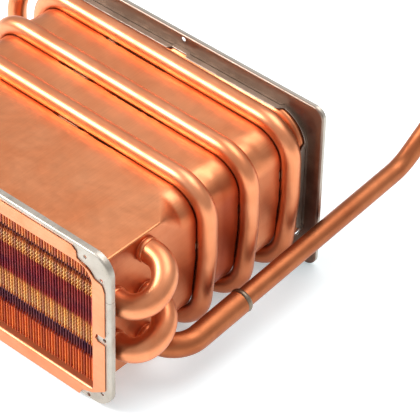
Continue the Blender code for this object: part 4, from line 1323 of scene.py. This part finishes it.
for sleeve_name, middle in (("inlet_sleeve", INLET_JOINT), ("riser_sleeve", RISER_FOOT)):
    section = rounded_sleeve(PIPE_RADIUS + 1.3, PIPE_RADIUS + 0.3, SLEEVE_LENGTH)
    start = np.array(middle) + (0, 0, 0.5 - SLEEVE_LENGTH / 2)
    sleeve_mesh = turned_mesh(sleeve_name, section, start, (0, 0, 1))
    add_piece(f"{sleeve_name}_finished", sleeve_mesh, bend_copper, [sleeve_name])


def make_braze_ring():
    """A ring of solder that has run: half an oval, 4.6 mm long and 2 mm high, on the pipe."""
    bore = PIPE_RADIUS + 0.2
    angle = np.linspace(0, np.pi, 9)
    bead = [(bore + 2.0 * math.sin(a), 2.3 - 2.3 * math.cos(a)) for a in angle]
    section = [(bore, 4.6), (bore, 0.0)] + bead[1:-1]
    mesh = turned_mesh("braze_ring", section, ELBOW_END + OUTLET_RUN * 0.1, OUTLET_RUN)
    add_piece("outlet_braze_bead", mesh, solder_grey, ["outlet_braze_ring"], sharp=70)


make_braze_ring()

# %% Unions
NUT_FLATS = 24.0
NUT_LENGTH = 18.0
NUT_END_RADIUS = 11.6
NUT_BORE = 7.9
NUT_CAVITY = 9.5
NUT_SHOULDER = 4.8
NUT_BACK = 9.0
THREAD_PITCH = 1.8
THREAD_DEPTH = 0.55


def make_nut(name, x):
    """Rows run along the outside from back to front, in at the mouth, and back along the bore. In the
    bore the radius follows a helix: a triangle wave of (distance / pitch - angle / 360 degrees)."""
    angle = np.linspace(0, 2 * np.pi, 144, endpoint=False)
    from_flat = (angle + np.pi / 6) % (np.pi / 3) - np.pi / 6
    hexagon = NUT_FLATS / 2 / np.cos(from_flat)
    chamfer = np.linspace(0, 1.4, 5)
    outside = np.concatenate([chamfer, [6.0, 12.0], NUT_LENGTH - chamfer[::-1]])
    room = NUT_END_RADIUS + 1.75 * np.minimum(outside, NUT_LENGTH - outside)[:, None]
    outer = np.minimum(hexagon[None], room)
    depth = np.linspace(NUT_LENGTH, NUT_SHOULDER, 60)
    phase = (depth[:, None] / THREAD_PITCH - angle / (2 * np.pi)) % 1.0
    ridge = np.abs(2 * phase - 1) * eased(NUT_LENGTH - depth, 0.4, 1.6)[:, None]
    ridge = ridge * eased(depth, NUT_SHOULDER + 0.2, NUT_SHOULDER + 1.6)[:, None]
    bore = NUT_CAVITY + 0.1 - THREAD_DEPTH * ridge
    neck = np.full((2, len(angle)), NUT_BORE)
    radius = np.concatenate([outer, bore, neck])
    along = np.concatenate([outside, depth, [NUT_SHOULDER, 0.0]]) + PORT_END - NUT_BACK
    flat = np.stack([x + radius * np.cos(angle), PORT_Z + radius * np.sin(angle)], -1)
    mesh = closed_grid(name, with_depth(flat, along[:, None]))
    add_piece(f"{name}_threaded", mesh, nut_brass, [name], body=name, sharp=25)


def make_union(name, x):
    """A collar brazed to the pipe's end, a seal in front of it, and the nut round both."""
    outer = NUT_CAVITY - 0.5
    collar = rounded_sleeve(outer, PIPE_RADIUS + 0.3, 3.2)
    seal = rounded_sleeve(outer, 5.5, 2.0, 0.2)
    for piece, section, y, finish, slot in (
        (f"{name}_collar", collar, PORT_END - 3.4, nut_brass, "brass"),
        (f"{name}_seal", seal, PORT_END + 0.3, seal_fibre, "fibre_seal"),
    ):
        mesh = turned_mesh(piece, section, (x, y, PORT_Z), (0, 1, 0))
        add_piece(f"{piece}_finished", mesh, finish, [piece])
    make_nut(f"{name}_nut", x)


make_union("inlet", INLET_X)
make_union("outlet", OUTLET_X)

# %% [markdown]
# ## Floor, light and camera
# The object lies on a plain white floor. A large soft light at the front left gives the long pale
# highlights on the coil, a weaker one fills from above, and the sky is a soft grey that gets darker
# towards the horizon, so that polished copper has something to reflect.

# %% Studio
FLOOR_HALF = 6.0


def make_floor():
    mesh = bpy.data.meshes.new("floor")
    corners = [(x * FLOOR_HALF, y * FLOOR_HALF, 0) for x, y in ((-1, -1), (1, -1), (1, 1), (-1, 1))]
    mesh.from_pydata(corners, [], [(0, 1, 2, 3)])
    made = bpy.data.materials.new("floor_white")
    made.use_nodes = True
    shader = made.node_tree.nodes["Principled BSDF"]
    shader.inputs["Base Color"].default_value = (0.93, 0.93, 0.93, 1)
    shader.inputs["Roughness"].default_value = 0.9
    shader.inputs["Emission Color"].default_value = (0.72, 0.95, 1.0, 1)
    shader.inputs["Emission Strength"].default_value = 0.38
    mesh.materials.append(made)
    in_scene("floor", mesh)


def soft_light(name, place, aim, size, power):
    light = bpy.data.lights.new(name, "AREA")
    light.shape = "RECTANGLE"
    light.size, light.size_y = size
    light.energy = power
    lamp = in_scene(name, light)
    lamp.location = place
    lamp.rotation_euler = (Vector(aim) - Vector(place)).to_track_quat("-Z", "Y").to_euler()


def make_sky():
    world = bpy.data.worlds.new("studio")
    world.use_nodes = True
    nodes = Nodes(world.node_tree)
    height = nodes.axis(nodes.add("ShaderNodeTexCoord").outputs["Generated"], "Z")
    ramp = nodes.add("ShaderNodeValToRGB", Fac=nodes.spread(height, -0.1, 1.0))
    ramp.color_ramp.elements[0].color = (0.42, 0.42, 0.43, 1)
    ramp.color_ramp.elements[1].color = (0.95, 0.95, 0.96, 1)
    background = world.node_tree.nodes["Background"]
    nodes.put(background, "Color", ramp.outputs["Color"])
    background.inputs["Strength"].default_value = 0.9
    bpy.context.scene.world = world


make_floor()
soft_light("key", (-1.15, -1.25, 1.35), (0, -0.05, 0.06), (0.9, 0.45), 36.0)
soft_light("top", (0.3, 0.5, 1.9), (0, 0, 0.05), (1.6, 1.2), 20.0)
make_sky()

# %% Camera
CAMERA_PLACE = (1.01975, -1.13021, 1.28435)
AZIMUTH = math.radians(40.785)
ELEVATION = math.radians(40.558)
ROLL = math.radians(1.544)
FOCAL_LENGTH = 222.32


def make_camera():
    """The view's three axes from azimuth, elevation and roll, set as the camera's rotation."""
    right = Vector((math.cos(AZIMUTH), math.sin(AZIMUTH), 0))
    level = Vector((math.sin(AZIMUTH), -math.cos(AZIMUTH), 0))
    back = level * math.cos(ELEVATION) + Vector((0, 0, math.sin(ELEVATION)))
    up = back.cross(right)
    camera_right = right * math.cos(ROLL) + up * math.sin(ROLL)
    camera_up = up * math.cos(ROLL) - right * math.sin(ROLL)
    lens = bpy.data.cameras.new("camera")
    lens.lens = FOCAL_LENGTH
    lens.sensor_width = 36.0
    lens.clip_start = 0.05
    camera = in_scene("camera", lens)
    turned = Matrix((camera_right, camera_up, back)).transposed().to_4x4()
    camera.matrix_world = Matrix.Translation(CAMERA_PLACE) @ turned
    bpy.context.scene.camera = camera


make_camera()
bpy.context.scene.view_settings.view_transform = "Standard"

# %% Finish
bpy.context.view_layer.update()
